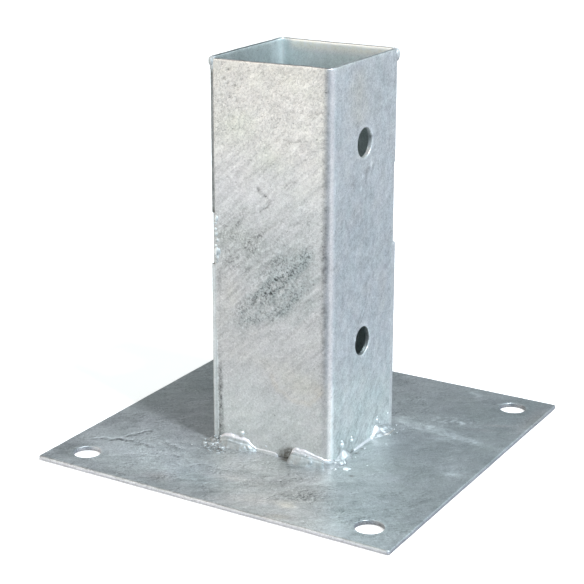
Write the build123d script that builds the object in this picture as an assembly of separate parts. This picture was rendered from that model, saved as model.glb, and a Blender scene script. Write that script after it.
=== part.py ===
from build123d import *
import os

# Bolt-down post socket: a square base plate with four anchor holes and, welded
# on it, a square socket for a timber post.  The socket is two strips of sheet,
# each folded once into an angle, seam-welded at two opposite corners.  All of
# it is hot-dip galvanised steel.
#
# Frame: millimetres, +Z up, origin at the centre of the plate's underside.
# -Y is the plain front face of the socket, +X is a face with two screw holes.

# ---- driving dimensions ----------------------------------------------------
PLATE = 150.0            # side of the square base plate
SHEET = 1.7              # thickness of plate and socket sheet, zinc included
PLATE_CORNER_R = 1.0     # the plate corners are nearly sharp
PLATE_EDGE_R = 0.45      # zinc rounds off the sheared edges of the plate
ANCHOR_D = 10.5          # anchor hole diameter, zinc included
ANCHOR_DX = 122.0        # hole to hole along X
ANCHOR_DY = 125.0        # hole to hole along Y

SOCKET_W = 51.5          # outside width of the socket, both ways
SOCKET_H = 151.0         # socket height above the plate
SOCKET_X = 0.0           # centred between the left and right sides of the plate
SOCKET_Y = -2.5          # but welded on a little towards the front
FOLD_R = 3.0             # outside radius of the two folded corners
SCREW_D = 11.2           # screw holes in the two pierced walls
SCREW_Y = -0.5           # their centre line, from the socket's axis
SCREW_Z_LOW = 44.6       # hole centres above the plate's underside
SCREW_Z_HIGH = 121.5

# Each seam has four runs: a round tack at the rim, a flush upper run, a rough
# middle run that is a little underfilled, and a smooth full bead to the foot.
# The crown is how far the bead's middle stays inside the sharp corner.
UPPER_CROWN = 0.42
MIDDLE_CROWN = 0.72
LOWER_CROWN = 0.05
LOWER_LEG = 2.4          # the lower bead laps this far onto both faces
LEFT_MIDDLE = (73.5, 94.0)    # heights between which the middle run lies
RIGHT_MIDDLE = (77.0, 109.5)
TACK_LOW = 148.0         # the rim tack starts here
TACK_R = 1.65            # radius of its round drop
FOOT_R = 3.6             # radius of the foot fillet beads that the photo doesn't show
FOOT_SINK = 0.35         # their centre line lies this far inside the corner

h = SOCKET_W / 2
t = SHEET
z0 = SHEET
z1 = SHEET + SOCKET_H

os.makedirs("parts", exist_ok=True)


def prism(points, low, high, rounds=()):
    """A plan outline in socket coordinates, extruded between two heights."""
    face = make_face(Polyline(*points, close=True))
    for where, radius in rounds:
        corner = sorted(
            face.vertices(),
            key=lambda v: (v.X - where[0]) ** 2 + (v.Y - where[1]) ** 2,
        )[0]
        face = fillet(corner, radius)
    solid = extrude(face, amount=high - low, dir=(0, 0, 1))
    return Pos(SOCKET_X, SOCKET_Y, low) * solid


# ---- base plate ------------------------------------------------------------
plate = extrude(RectangleRounded(PLATE, PLATE, PLATE_CORNER_R), amount=SHEET)
for sx in (-1, 1):
    for sy in (-1, 1):
        plate -= Pos(sx * ANCHOR_DX / 2, sy * ANCHOR_DY / 2, SHEET / 2) * Cylinder(
            ANCHOR_D / 2, SHEET * 3
        )
rims = plate.edges().group_by(Axis.Z)
base_plate = fillet(rims[0] + rims[-1], PLATE_EDGE_R)

# ---- the two folded angles -------------------------------------------------
outline = [
    (-h + t, -h),
    (h, -h),
    (h, h - t),
    (h - t, h - t),
    (h - t, -h + t),
    (-h + t, -h + t),
]
folds = [((h, -h), FOLD_R), ((h - t, -h + t), FOLD_R - t)]
front_angle = prism(outline, z0, z1, folds)
rear_angle = prism(
    [(-x, -y) for x, y in outline],
    z0,
    z1,
    [((-x, -y), r) for (x, y), r in folds],
)

# screw holes, two in line, through the +X wall and the -X wall
for z in (SCREW_Z_LOW, SCREW_Z_HIGH):
    drill = (
        Pos(SOCKET_X, SOCKET_Y + SCREW_Y, z)
        * Rot(0, 90, 0)
        * Cylinder(SCREW_D / 2, SOCKET_W * 2)
    )
    front_angle -= drill
    rear_angle -= drill


# ---- seam welds ------------------------------------------------------------
def seam(sign, low, high, leg, crown):
    """Fills the open groove where two sheet edges meet at a corner.

    The section is drawn from the corner: sign 1 is the left corner (-X, -Y),
    sign -1 the right one.  A leg over the sheet's thickness laps onto its face.
    """
    a = (-sign * (h - t), -sign * h)
    b = (-sign * (h - t), -sign * (h - t))
    c = (-sign * h, -sign * (h - t))
    m = (-sign * (h - crown), -sign * (h - crown))
    if leg > t:
        a0 = (-sign * (h - leg), -sign * h)
        c0 = (-sign * h, -sign * (h - leg))
        edges = Polyline(a0, a, b, c, c0) + ThreePointArc(c0, m, a0)
    else:
        edges = Polyline(a, b, c) + ThreePointArc(c, m, a)
    return Pos(SOCKET_X, SOCKET_Y, low) * extrude(
        make_face(edges), amount=high - low, dir=(0, 0, 1)
    )


def rim_tack(sign):
    """A short run that ends in a round drop standing proud of the corner."""
    k = -sign * (h - 0.95)
    drop = Pos(SOCKET_X + k, SOCKET_Y + k, z1 - TACK_R) * Sphere(TACK_R)
    clear = Pos(SOCKET_X, SOCKET_Y, z1) * Box(SOCKET_W - 2 * t, SOCKET_W - 2 * t, 40)
    drop = drop - clear - front_angle - rear_angle
    drop = sorted(drop.solids(), key=lambda s: s.volume)[-1]
    return seam(sign, TACK_LOW, z1, t, UPPER_CROWN) + drop


seams = {}
for name, sign, middle in (("left", 1, LEFT_MIDDLE), ("right", -1, RIGHT_MIDDLE)):
    seams[name + "_seam_tack"] = rim_tack(sign)
    seams[name + "_seam_weld_upper"] = seam(sign, middle[1], TACK_LOW, t, UPPER_CROWN)
    seams[name + "_seam_weld_middle"] = seam(sign, *middle, t, MIDDLE_CROWN)
    seams[name + "_seam_weld_lower"] = seam(sign, z0, middle[0], LOWER_LEG, LOWER_CROWN)

# ---- foot welds ------------------------------------------------------------
# Each is a short fillet bead in the corner between a socket face and the
# plate: a round bar with ball ends, less everything it lies against.
sheets = [base_plate, front_angle, rear_angle] + list(seams.values())
hollow = Pos(SOCKET_X, SOCKET_Y, z0 + 10) * Box(SOCKET_W - t, SOCKET_W - t, 30)


def foot_bead(side, low, high, radius=FOOT_R):
    """A bead along one face; low and high run along it from the socket's axis."""
    inset = h - FOOT_SINK
    zc = z0 - FOOT_SINK
    a, b = low + radius, high - radius
    if side in ("front", "rear"):
        v = -inset if side == "front" else inset
        ends = [Vector(a, v, zc), Vector(b, v, zc)]
        bar = Pos((a + b) / 2, v, zc) * Rot(0, 90, 0) * Cylinder(radius, b - a)
    else:
        u = inset if side == "right" else -inset
        ends = [Vector(u, a, zc), Vector(u, b, zc)]
        bar = Pos(u, (a + b) / 2, zc) * Rot(90, 0, 0) * Cylinder(radius, b - a)
    for end in ends:
        bar += Pos(end.X, end.Y, end.Z) * Sphere(radius)
    return Pos(SOCKET_X, SOCKET_Y, 0) * bar


def corner_bead(sx, inside, radius):
    """A round blob over the foot of a front corner, sx -1 left and 1 right."""
    k = h - inside
    return Pos(SOCKET_X + sx * k, SOCKET_Y - k, z0 - FOOT_SINK) * Sphere(radius)


feet = {
    "left_corner_foot_weld": corner_bead(-1, 0.9, 3.7),
    "front_foot_weld_left": foot_bead("front", -22.6, -6.0, 3.9),
    "front_foot_weld_right": foot_bead("front", 10.2, 23.4, 4.1),
    "front_corner_foot_weld": corner_bead(1, 1.4, 3.8),
    "right_foot_weld_near": foot_bead("right", -20.8, -9.0, 3.6),
    "right_foot_weld_far": foot_bead("right", 7.0, 22.4, 4.2),
    "rear_foot_weld_left": foot_bead("rear", -21.5, -7.5),
    "rear_foot_weld_right": foot_bead("rear", 8.0, 22.0),
    "left_foot_weld_near": foot_bead("left", -22.0, -7.5),
    "left_foot_weld_far": foot_bead("left", 7.5, 21.0),
}
below = Pos(0, 0, z0 - 20) * Box(PLATE * 2, PLATE * 2, 40)
done = []
for name in list(feet):
    bead = feet[name] - below - hollow
    for other in sheets[1:] + done:
        bead -= other
    # what is left of the bar outside the socket is the largest solid
    bead = sorted(bead.solids(), key=lambda s: s.volume)[-1]
    feet[name] = bead
    done.append(bead)

# ---- write -----------------------------------------------------------------
nodes = {
    "base_plate": base_plate,
    "front_angle": front_angle,
    "rear_angle": rear_angle,
    **seams,
    **feet,
}
for name, shape in nodes.items():
    solids = shape.solids() if hasattr(shape, "solids") else [shape]
    one = solids[0] if len(solids) == 1 else Compound(children=list(solids))
    one.label = name
    export_step(one, f"parts/{name}.step")
    box = one.bounding_box()
    print(
        f"{name:26s} solids {len(solids)} volume {sum(s.volume for s in solids):9.2f} mm3 "
        f"x {box.min.X:7.2f}..{box.max.X:7.2f} y {box.min.Y:7.2f}..{box.max.Y:7.2f} "
        f"z {box.min.Z:7.2f}..{box.max.Z:7.2f}"
    )
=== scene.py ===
import math

import bpy
import numpy as np
from mathutils import Matrix, Vector


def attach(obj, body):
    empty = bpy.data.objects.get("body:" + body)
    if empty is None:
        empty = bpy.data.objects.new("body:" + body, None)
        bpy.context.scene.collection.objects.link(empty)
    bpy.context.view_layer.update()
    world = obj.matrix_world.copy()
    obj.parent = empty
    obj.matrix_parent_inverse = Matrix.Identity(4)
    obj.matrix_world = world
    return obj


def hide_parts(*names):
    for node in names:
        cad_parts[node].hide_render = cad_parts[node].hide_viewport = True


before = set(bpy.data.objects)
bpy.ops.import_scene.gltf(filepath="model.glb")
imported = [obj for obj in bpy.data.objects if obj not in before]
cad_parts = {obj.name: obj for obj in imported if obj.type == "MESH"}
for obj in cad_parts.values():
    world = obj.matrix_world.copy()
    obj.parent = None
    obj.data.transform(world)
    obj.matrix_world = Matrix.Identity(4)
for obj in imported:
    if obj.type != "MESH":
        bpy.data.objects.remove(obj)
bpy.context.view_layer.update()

# Looks of the bolt-down post socket.  Every mesh is made in millimetres, in the
# part's own frame, and written to Blender in metres.  -Y is the plain front
# face of the socket, +X is the pierced right face.

MM = 0.001
PLATE = 150.0
T = 1.7                      # sheet thickness, plate and socket
CORNER_R = 1.0
HOLES_X, HOLES_Y, ANCHOR_R = 61.0, 62.5, 5.25
H = 51.5 / 2                 # half the socket's outside width
SX, SY = 0.0, -2.5           # the socket's axis
Z0, Z1 = T, T + 151.0
FOLD = 3.0
SCREW_R, SCREW_Y, SCREW_Z = 5.6, -0.5, (44.6, 121.5)


# ---- noise -----------------------------------------------------------------
_lattices = {}


def noise(p, size, seed):
    """Gradient noise, about -1 to 1, whose features are that many mm across."""
    if seed not in _lattices:
        rng = np.random.default_rng(seed)
        grad = rng.normal(size=(1024, 3))
        _lattices[seed] = (
            rng.permutation(1024),
            grad / np.linalg.norm(grad, axis=1)[:, None],
        )
    perm, grad = _lattices[seed]
    q = np.asarray(p, float) / size + 131.7
    cell = np.floor(q).astype(np.int64)
    f = q - cell
    u = f * f * f * (f * (f * 6 - 15) + 10)
    out = np.zeros(len(q))
    for dx in (0, 1):
        wx = u[:, 0] if dx else 1 - u[:, 0]
        ix = perm[(cell[:, 0] + dx) & 1023]
        for dy in (0, 1):
            wy = wx * (u[:, 1] if dy else 1 - u[:, 1])
            iy = perm[(ix + cell[:, 1] + dy) & 1023]
            for dz in (0, 1):
                w = wy * (u[:, 2] if dz else 1 - u[:, 2])
                i = perm[(iy + cell[:, 2] + dz) & 1023]
                d = f - (dx, dy, dz)
                out += w * (grad[i] * d).sum(1)
    return out * 1.6


def fbm(p, size, seed, octaves=3, gain=0.5):
    out, amp, total = 0.0, 1.0, 0.0
    for k in range(octaves):
        out = out + amp * noise(p, size / 2.03**k, seed + 17 * k)
        total += amp
        amp *= gain
    return out / total


def flat3(a, b, c=0.0):
    a = np.asarray(a, float)
    return np.stack([a, np.asarray(b, float) + 0 * a, np.asarray(c, float) + 0 * a], 1)


def ease(x, a, b):
    """0 below a, 1 above b, smooth between them."""
    k = np.clip((np.asarray(x, float) - a) / (b - a), 0, 1)
    return k * k * (3 - 2 * k)


def spot(a, b, ca, cb, ra, rb=None, turn=0.0):
    """A soft round or oval spot: 1 at its centre, about 0.02 at twice its radii."""
    rb = ra if rb is None else rb
    da, db = a - ca, b - cb
    c, s = math.cos(math.radians(turn)), math.sin(math.radians(turn))
    x, y = da * c + db * s, -da * s + db * c
    return np.exp(-((x / ra) ** 2) - (y / rb) ** 2)


MARKS = ("tone", "warm", "pink", "speck", "coarse", "flow", "stain")


# ---- meshes ----------------------------------------------------------------
def build(name, verts, quads, tris=None, material=None, nodes=(), data=None):
    """One closed mesh from vertices in mm; faces are turned outwards together."""
    verts = np.asarray(verts, float)
    quads = np.asarray(quads, np.int64).reshape(-1, 4)
    tris = np.zeros((0, 3), np.int64) if tris is None else np.asarray(tris, np.int64).reshape(-1, 3)
    t = np.concatenate([quads[:, [0, 1, 2]], quads[:, [0, 2, 3]], tris])
    a, b, c = verts[t[:, 0]], verts[t[:, 1]], verts[t[:, 2]]
    if (a * np.cross(b, c)).sum() < 0:
        quads, tris = quads[:, ::-1], tris[:, ::-1]
    mesh = bpy.data.meshes.new(name)
    mesh.vertices.add(len(verts))
    mesh.vertices.foreach_set("co", (verts * MM).astype(np.float32).ravel())
    loops = np.concatenate([quads.ravel(), tris.ravel()]).astype(np.int32)
    mesh.loops.add(len(loops))
    mesh.loops.foreach_set("vertex_index", loops)
    totals = np.concatenate([np.full(len(quads), 4), np.full(len(tris), 3)]).astype(np.int32)
    starts = np.concatenate([[0], np.cumsum(totals)[:-1]]).astype(np.int32)
    mesh.polygons.add(len(totals))
    mesh.polygons.foreach_set("loop_start", starts)
    mesh.polygons.foreach_set("loop_total", totals)
    mesh.polygons.foreach_set("use_smooth", np.ones(len(totals), bool))
    mesh.update(calc_edges=True)
    mesh.validate()
    marks = {key: np.zeros(len(verts)) for key in MARKS}
    marks.update(data or {})
    for key, values in marks.items():
        layer = mesh.attributes.new(key, "FLOAT", "POINT")
        layer.data.foreach_set("value", np.asarray(values, np.float32))
    obj = bpy.data.objects.new(name, mesh)
    bpy.context.scene.collection.objects.link(obj)
    if material is not None:
        mesh.materials.append(material)
    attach(obj, "root")
    if nodes:
        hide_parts(*nodes)
    return obj


def ladder(stops, step):
    """Grid lines that pass through every stop, about one step apart."""
    out = [stops[0]]
    for a, b in zip(stops, stops[1:]):
        n = max(1, int(round((b - a) / step)))
        out += list(np.linspace(a, b, n + 1)[1:])
    return np.array(out)


def panel(s_lines, v_lines, holes, step):
    """A flat quad grid with round holes, each in a square block of the grid."""
    ns, nv = len(s_lines), len(v_lines)
    ids = np.arange(ns * nv).reshape(ns, nv)
    pts = np.stack(np.meshgrid(s_lines, v_lines, indexing="ij"), -1).reshape(-1, 2)
    cells = np.ones((ns - 1, nv - 1), bool)
    blocks = []
    for cs, cv, r, half in holes:
        i0, i1 = (int(np.argmin(abs(s_lines - x))) for x in (cs - half, cs + half))
        j0, j1 = (int(np.argmin(abs(v_lines - x))) for x in (cv - half, cv + half))
        cells[i0:i1, j0:j1] = False
        blocks.append((np.array([cs, cv]), r, half, i0, i1, j0, j1))
    i, j = np.nonzero(cells)
    quads = [np.stack([ids[i, j], ids[i + 1, j], ids[i + 1, j + 1], ids[i, j + 1]], 1)]
    count = len(pts)
    points = [pts]
    for centre, r, half, i0, i1, j0, j1 in blocks:
        ring = np.concatenate(
            [ids[i0:i1, j0], ids[i1, j0:j1], ids[i1:i0:-1, j1], ids[i0, j1:j0:-1]]
        )
        outer = pts[ring]
        d = outer - centre
        rim = centre + d / np.linalg.norm(d, axis=1)[:, None] * r
        layers = max(3, int(round((half - r) / step)))
        previous = ring
        for k in range(1, layers + 1):
            f = k / layers
            points.append(outer * (1 - f) + rim * f)
            now = np.arange(count, count + len(ring))
            count += len(ring)
            quads.append(
                np.stack([previous, np.roll(previous, -1), np.roll(now, -1), now], 1)
            )
            previous = now
    pts, quads = np.concatenate(points), np.concatenate(quads)
    used = np.unique(quads)
    new = np.full(len(pts), -1)
    new[used] = np.arange(len(used))
    return pts[used], new[quads]


def thicken(pts, quads, half, r, hole_r, arc=3):
    """Closes a flat grid into a sheet with rounded edges.
    Gives each vertex's two grid coordinates and its height w through the sheet."""
    n = len(pts)
    e = np.concatenate([quads[:, [k, (k + 1) % 4]] for k in range(4)])
    key = np.minimum(e[:, 0], e[:, 1]) * n + np.maximum(e[:, 0], e[:, 1])
    _, index, counts = np.unique(key, return_index=True, return_counts=True)
    following = {int(a): int(b) for a, b in e[index[counts == 1]]}
    flats = [np.c_[pts, np.full(n, half)], np.c_[pts, np.full(n, -half)]]
    faces = [quads, quads[:, ::-1] + n]
    total = 2 * n
    angles = np.radians(np.linspace(0, 90, arc + 1)[1:])
    while following:
        start = min(following)
        loop = [start]
        here = following.pop(start)
        while here != start:
            loop.append(here)
            here = following.pop(here)
        loop = np.array(loop)
        p = pts[loop]
        d = np.roll(p, -1, 0) - p
        out = np.stack([d[:, 1], -d[:, 0]], 1)
        out /= np.linalg.norm(out, axis=1)[:, None]
        both = out + np.roll(out, 1, 0)
        both /= np.linalg.norm(both, axis=1)[:, None]
        both /= np.maximum((both * out).sum(1), 0.65)[:, None]
        k = r if np.ptp(p, axis=0).max() > 20 else hole_r
        profile = [(k * math.sin(a), half - k * (1 - math.cos(a))) for a in angles]
        profile += [(o, -w) for o, w in reversed(profile)]
        rows = [loop]
        for o, w in profile:
            flats.append(np.c_[p + both * o, np.full(len(loop), w)])
            rows.append(np.arange(total, total + len(loop)))
            total += len(loop)
        rows.append(loop + n)
        for upper, lower in zip(rows, rows[1:]):
            faces.append(
                np.stack([upper, lower, np.roll(lower, -1), np.roll(upper, -1)], 1)
            )
    return np.concatenate(flats), np.concatenate(faces)


# ---- node helper -----------------------------------------------------------
class Tree:
    """Short names for building a material's nodes."""

    def __init__(self, name):
        self.material = bpy.data.materials.new(name)
        self.material.use_nodes = True
        self.nodes = self.material.node_tree.nodes
        self.links = self.material.node_tree.links
        self.nodes.clear()

    def put(self, socket, value):
        if isinstance(value, bpy.types.NodeSocket):
            self.links.new(value, socket)
        elif value is not None:
            socket.default_value = value

    def node(self, kind, **settings):
        made = self.nodes.new(kind)
        for key, value in settings.items():
            setattr(made, key, value)
        return made

    def math(self, operation, a, b=None, c=None, clamp=False):
        n = self.node("ShaderNodeMath", operation=operation, use_clamp=clamp)
        for socket, value in zip(n.inputs, (a, b, c)):
            self.put(socket, value)
        return n.outputs[0]

    def add(self, *terms):
        out = terms[0]
        for term in terms[1:]:
            out = self.math("ADD", out, term)
        return out

    def mul(self, a, b):
        return self.math("MULTIPLY", a, b)

    def remap(self, value, a, b, c=0.0, d=1.0):
        """value from a..b to c..d, held at the ends, smoothly."""
        n = self.node("ShaderNodeMapRange", interpolation_type="SMOOTHSTEP")
        for socket, v in zip(n.inputs[:5], (value, a, b, c, d)):
            self.put(socket, v)
        return n.outputs[0]

    def vector(self, vector, scale=(1, 1, 1), turn=(0, 0, 0), move=(0, 0, 0)):
        n = self.node("ShaderNodeMapping", vector_type="POINT")
        self.put(n.inputs["Vector"], vector)
        n.inputs["Scale"].default_value = scale
        n.inputs["Rotation"].default_value = [math.radians(x) for x in turn]
        n.inputs["Location"].default_value = move
        return n.outputs[0]

    def noise(self, vector, size, detail=2.0, rough=0.5, distortion=0.0, seed=0.0):
        """Noise with features of that many mm, about 0 to 1."""
        n = self.node("ShaderNodeTexNoise", noise_dimensions="4D")
        self.put(n.inputs["Vector"], vector)
        n.inputs["W"].default_value = seed
        n.inputs["Scale"].default_value = 1.0 / size
        n.inputs["Detail"].default_value = detail
        n.inputs["Roughness"].default_value = rough
        n.inputs["Distortion"].default_value = distortion
        return n.outputs["Fac"]

    def cells(self, vector, size, feature="F1", output="Distance"):
        n = self.node("ShaderNodeTexVoronoi", feature=feature)
        self.put(n.inputs["Vector"], vector)
        n.inputs["Scale"].default_value = 1.0 / size
        return n.outputs[output]

    def attribute(self, name):
        return self.node("ShaderNodeAttribute", attribute_name=name).outputs["Fac"]

    def mix(self, factor, a, b):
        n = self.node("ShaderNodeMix", data_type="RGBA")
        self.put(n.inputs[0], factor)
        self.put(n.inputs[6], a if isinstance(a, bpy.types.NodeSocket) else (*a, 1))
        self.put(n.inputs[7], b if isinstance(b, bpy.types.NodeSocket) else (*b, 1))
        return n.outputs[2]

    def ramp(self, factor, stops):
        n = self.node("ShaderNodeValToRGB")
        self.put(n.inputs[0], factor)
        e = n.color_ramp.elements
        while len(e) < len(stops):
            e.new(0.5)
        for element, (place, colour) in zip(e, stops):
            element.position = place
            element.color = (*colour, 1)
        return n.outputs[0]

    def finish(self, colour, roughness, height, strength, distance, metallic=0.72):
        bump = self.node("ShaderNodeBump")
        bump.inputs["Strength"].default_value = strength
        bump.inputs["Distance"].default_value = distance * MM
        self.put(bump.inputs["Height"], height)
        shader = self.node("ShaderNodeBsdfPrincipled")
        self.put(shader.inputs["Base Color"], colour)
        self.put(shader.inputs["Roughness"], roughness)
        self.put(shader.inputs["Metallic"], metallic)
        self.put(shader.inputs["Normal"], bump.outputs[0])
        out = self.node("ShaderNodeOutputMaterial")
        self.links.new(shader.outputs[0], out.inputs[0])
        return self.material

    def mm(self):
        """Object coordinates in mm."""
        n = self.node("ShaderNodeTexCoord")
        return self.vector(n.outputs["Object"], scale=(1000, 1000, 1000))


def zinc(name, seed, base, rough, amounts, turn=(0, 0, 0), streak_size=2.4, bump=0.5, metallic=0.72, worms=0.0):
    """Hot-dip zinc. amounts: cloud, mottle, grain, fine and streak, how far each
    moves the lightness. The mesh's own values add the marks that sit in one
    place: tone, warm and pink tint it, coarse and flow make it wrinkled or
    streaky, speck and stain make it dark-flecked or brown. In places tone also
    carries painted highlights, painted reflections and painted shade."""
    t = Tree(name)
    p = t.mm()
    turned = t.vector(p, turn=turn)
    off = lambda n: t.math("SUBTRACT", n, 0.5)
    cloud = t.noise(p, 28, 3, 0.55, 0.6, seed + 1)
    mottle = t.noise(t.vector(turned, (0.55, 1, 1)), 4.6, 4, 0.66, 0.9, seed + 2)
    grain = t.noise(p, 0.85, 2, 0.7, 0.5, seed + 3)
    fine = t.noise(p, 0.40, 1, 0.6, 0, seed + 4)
    lines = t.noise(t.vector(turned, (0.15, 1, 1)), streak_size, 4, 0.68, 0.3, seed + 5)
    crease = t.math("ABSOLUTE", off(t.noise(t.vector(turned, (0.6, 1, 1)), 2.4, 3, 0.62, 1.5, seed + 7)))
    crease = t.remap(crease, 0.035, 0.0)
    coarse, flow = t.attribute("coarse"), t.attribute("flow")
    # short curly wrinkles, each with a lit and a shaded side
    wrinkle = lambda move: t.remap(t.math("ABSOLUTE", off(t.noise(t.vector(turned, (0.62, 1, 1), move=move), 4.2, 2, 0.55, 1.6, seed + 9))), 0.050, 0.0)
    where = t.remap(t.noise(p, 8, 2, 0.5, 0.4, seed + 10), 0.46, 0.62)
    worm = t.mul(t.math("SUBTRACT", t.mul(wrinkle((0.38, -0.55, 0)), 0.8), wrinkle((0, 0, 0))), where)
    flake = t.remap(t.noise(t.vector(turned, (0.7, 1, 1)), 1.9, 3, 0.6, 1.2, seed + 11), 0.58, 0.68)
    lum = t.add(
        t.mul(worm, t.add(t.mul(coarse, 0.16), worms)),
        t.mul(off(cloud), amounts[0]),
        t.mul(off(mottle), t.add(t.mul(coarse, 0.28), amounts[1])),
        t.mul(off(grain), t.add(t.mul(coarse, amounts[2] * 0.55), amounts[2])),
        t.mul(off(fine), amounts[3]),
        t.mul(t.mul(off(lines), flow), amounts[4]),
        t.mul(crease, t.add(t.mul(coarse, -0.22), -0.035)),
        t.mul(t.mul(flake, coarse), 0.10),
        t.attribute("tone"),
        1.0,
    )
    dots = t.remap(t.noise(p, 0.75, 2, 0.6, 0.2, seed + 6), 0.47, 0.58)
    lum = t.mul(lum, t.math("SUBTRACT", 1.0, t.mul(t.mul(dots, t.attribute("speck")), 0.50)))
    # a scatter of pin-head sparkles and pin pricks
    near = t.remap(t.cells(t.vector(p, turn=(17, 40, 9)), 2.6), 0.11, 0.05)
    prick = t.remap(t.cells(t.vector(p, turn=(50, 8, 31)), 4.3), 0.085, 0.04)
    dent = t.remap(t.cells(t.vector(p, turn=(25, 61, 12)), 2.2), 0.17, 0.09)
    lum = t.add(lum, t.mul(near, 0.16), t.mul(prick, -0.34), t.mul(t.mul(dent, coarse), -0.16))
    lum = t.math("MAXIMUM", lum, 0.08)
    tint = t.ramp(
        t.add(t.mul(t.attribute("warm"), 0.5), t.mul(off(cloud), 0.35), t.mul(off(mottle), 0.30), 0.5),
        [(0.0, (0.88, 0.985, 1.0)), (0.5, (0.975, 0.99, 1.0)), (1.0, (1.0, 0.965, 0.90))],
    )
    blush = t.ramp(
        t.add(t.mul(t.attribute("pink"), 0.5), t.mul(off(t.noise(p, 6, 4, 0.65, 0.6, seed + 8)), 0.9), 0.5),
        [(0.0, (0.975, 1.0, 0.955)), (0.5, (0.995, 0.99, 0.99)), (1.0, (1.0, 0.965, 1.0))],
    )
    both = t.node("ShaderNodeVectorMath", operation="MULTIPLY")
    t.put(both.inputs[0], tint)
    t.put(both.inputs[1], blush)
    n = t.node("ShaderNodeVectorMath", operation="SCALE")
    t.put(n.inputs[0], both.outputs[0])
    t.put(n.inputs["Scale"], t.mul(lum, base * 1.01))
    stained = t.mix(t.attribute("stain"), n.outputs[0], (0.085, 0.068, 0.045))
    height = t.add(t.mul(mottle, 0.8), t.mul(grain, t.add(t.mul(coarse, 0.5), 0.55)), t.mul(fine, 0.22),
                   t.mul(near, 0.5), t.mul(prick, -0.9), t.mul(t.mul(crease, coarse), -0.5))
    roughness = t.add(rough - 0.09, t.mul(mottle, 0.12), t.mul(grain, 0.06), t.mul(t.attribute("stain"), 0.35))
    return t.finish(stained, roughness, height, bump, 0.10, metallic)


PLATE_ZINC = zinc("plate_zinc", 0, 0.556, 0.34, (0.42, 0.82, 0.74, 0.72, 0.20), (0, 0, -31), 1.6, bump=0.9, worms=0.22)
FRONT_ZINC = zinc("front_zinc", 20, 0.658, 0.38, (0.16, 0.50, 0.62, 0.55, 0.80), (0, 42, 0), 1.5, bump=0.8, worms=0.06)
REAR_ZINC = zinc("rear_zinc", 40, 0.65, 0.38, (0.35, 0.50, 0.65, 0.50, 0.30), (0, -42, 0), 1.9, bump=0.8)
WELD_ZINC = zinc("weld_zinc", 60, 0.60, 0.57, (0.10, 0.50, 0.50, 0.30, 0.0), bump=0.5, metallic=0.72)


# ---- marks that sit in one place -------------------------------------------
class Paint:
    """Per-vertex marks, gathered over flat coordinates a, b in mm."""

    def __init__(self, a, b, where=1.0):
        self.a, self.b = np.asarray(a, float), np.asarray(b, float)
        self.where = where
        self.v = {k: np.zeros(len(self.a)) for k in (*MARKS, "lift")}

    def add(self, key, shape):
        self.v[key] += shape * self.where

    def spots(self, key, rows):
        """Rows of centre a, centre b, radius a, radius b, turn, amount."""
        for ca, cb, ra, rb, turn, amount in rows:
            self.add(key, amount * spot(self.a, self.b, ca, cb, ra, rb, turn))

    def line(self, key, points, width, amount, wobble=0.0, seed=0, broken=0.0):
        """A thin mark along a run of points, broken up where it says so."""
        a, b = self.a, self.b
        if wobble:
            f = flat3(a, b, 5)
            a, b = a + wobble * noise(f, 3, 70 + seed), b + wobble * noise(f, 3, 90 + seed)
        best = np.full(len(a), 1e9)
        for (x0, y0), (x1, y1) in zip(points, points[1:]):
            d = np.array([x1 - x0, y1 - y0])
            k = np.clip(((a - x0) * d[0] + (b - y0) * d[1]) / (d @ d), 0, 1)
            best = np.minimum(best, np.hypot(a - x0 - k * d[0], b - y0 - k * d[1]))
        if broken:
            amount = amount * np.clip(1 + broken * 2.2 * noise(flat3(self.a, self.b, 7), 1.4, 50 + seed), 0, 1.5)
        self.add(key, amount * np.exp(-((best / width) ** 2)))

    def smears(self, key, rows, turn, seed, length=7.0, width=1.3):
        """Soft patches broken up into streaks that all run one way."""
        c, s = math.cos(math.radians(turn)), math.sin(math.radians(turn))
        u, w = self.a * c + self.b * s, -self.a * s + self.b * c
        rag = 0.5 + 0.9 * noise(flat3(u / length, w / width, 2), 1.0, seed) + 0.35 * noise(flat3(u / length * 2.6, w / width * 2.3, 8), 1.0, seed + 1)
        total = 0
        for ca, cb, ra, rb, amount in rows:
            total = total + amount * spot(self.a, self.b, ca, cb, ra, rb, turn)
        self.add(key, np.clip(total * 1.25 * np.clip(rag, 0, 1.3), -1.2, 1.2))


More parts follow.
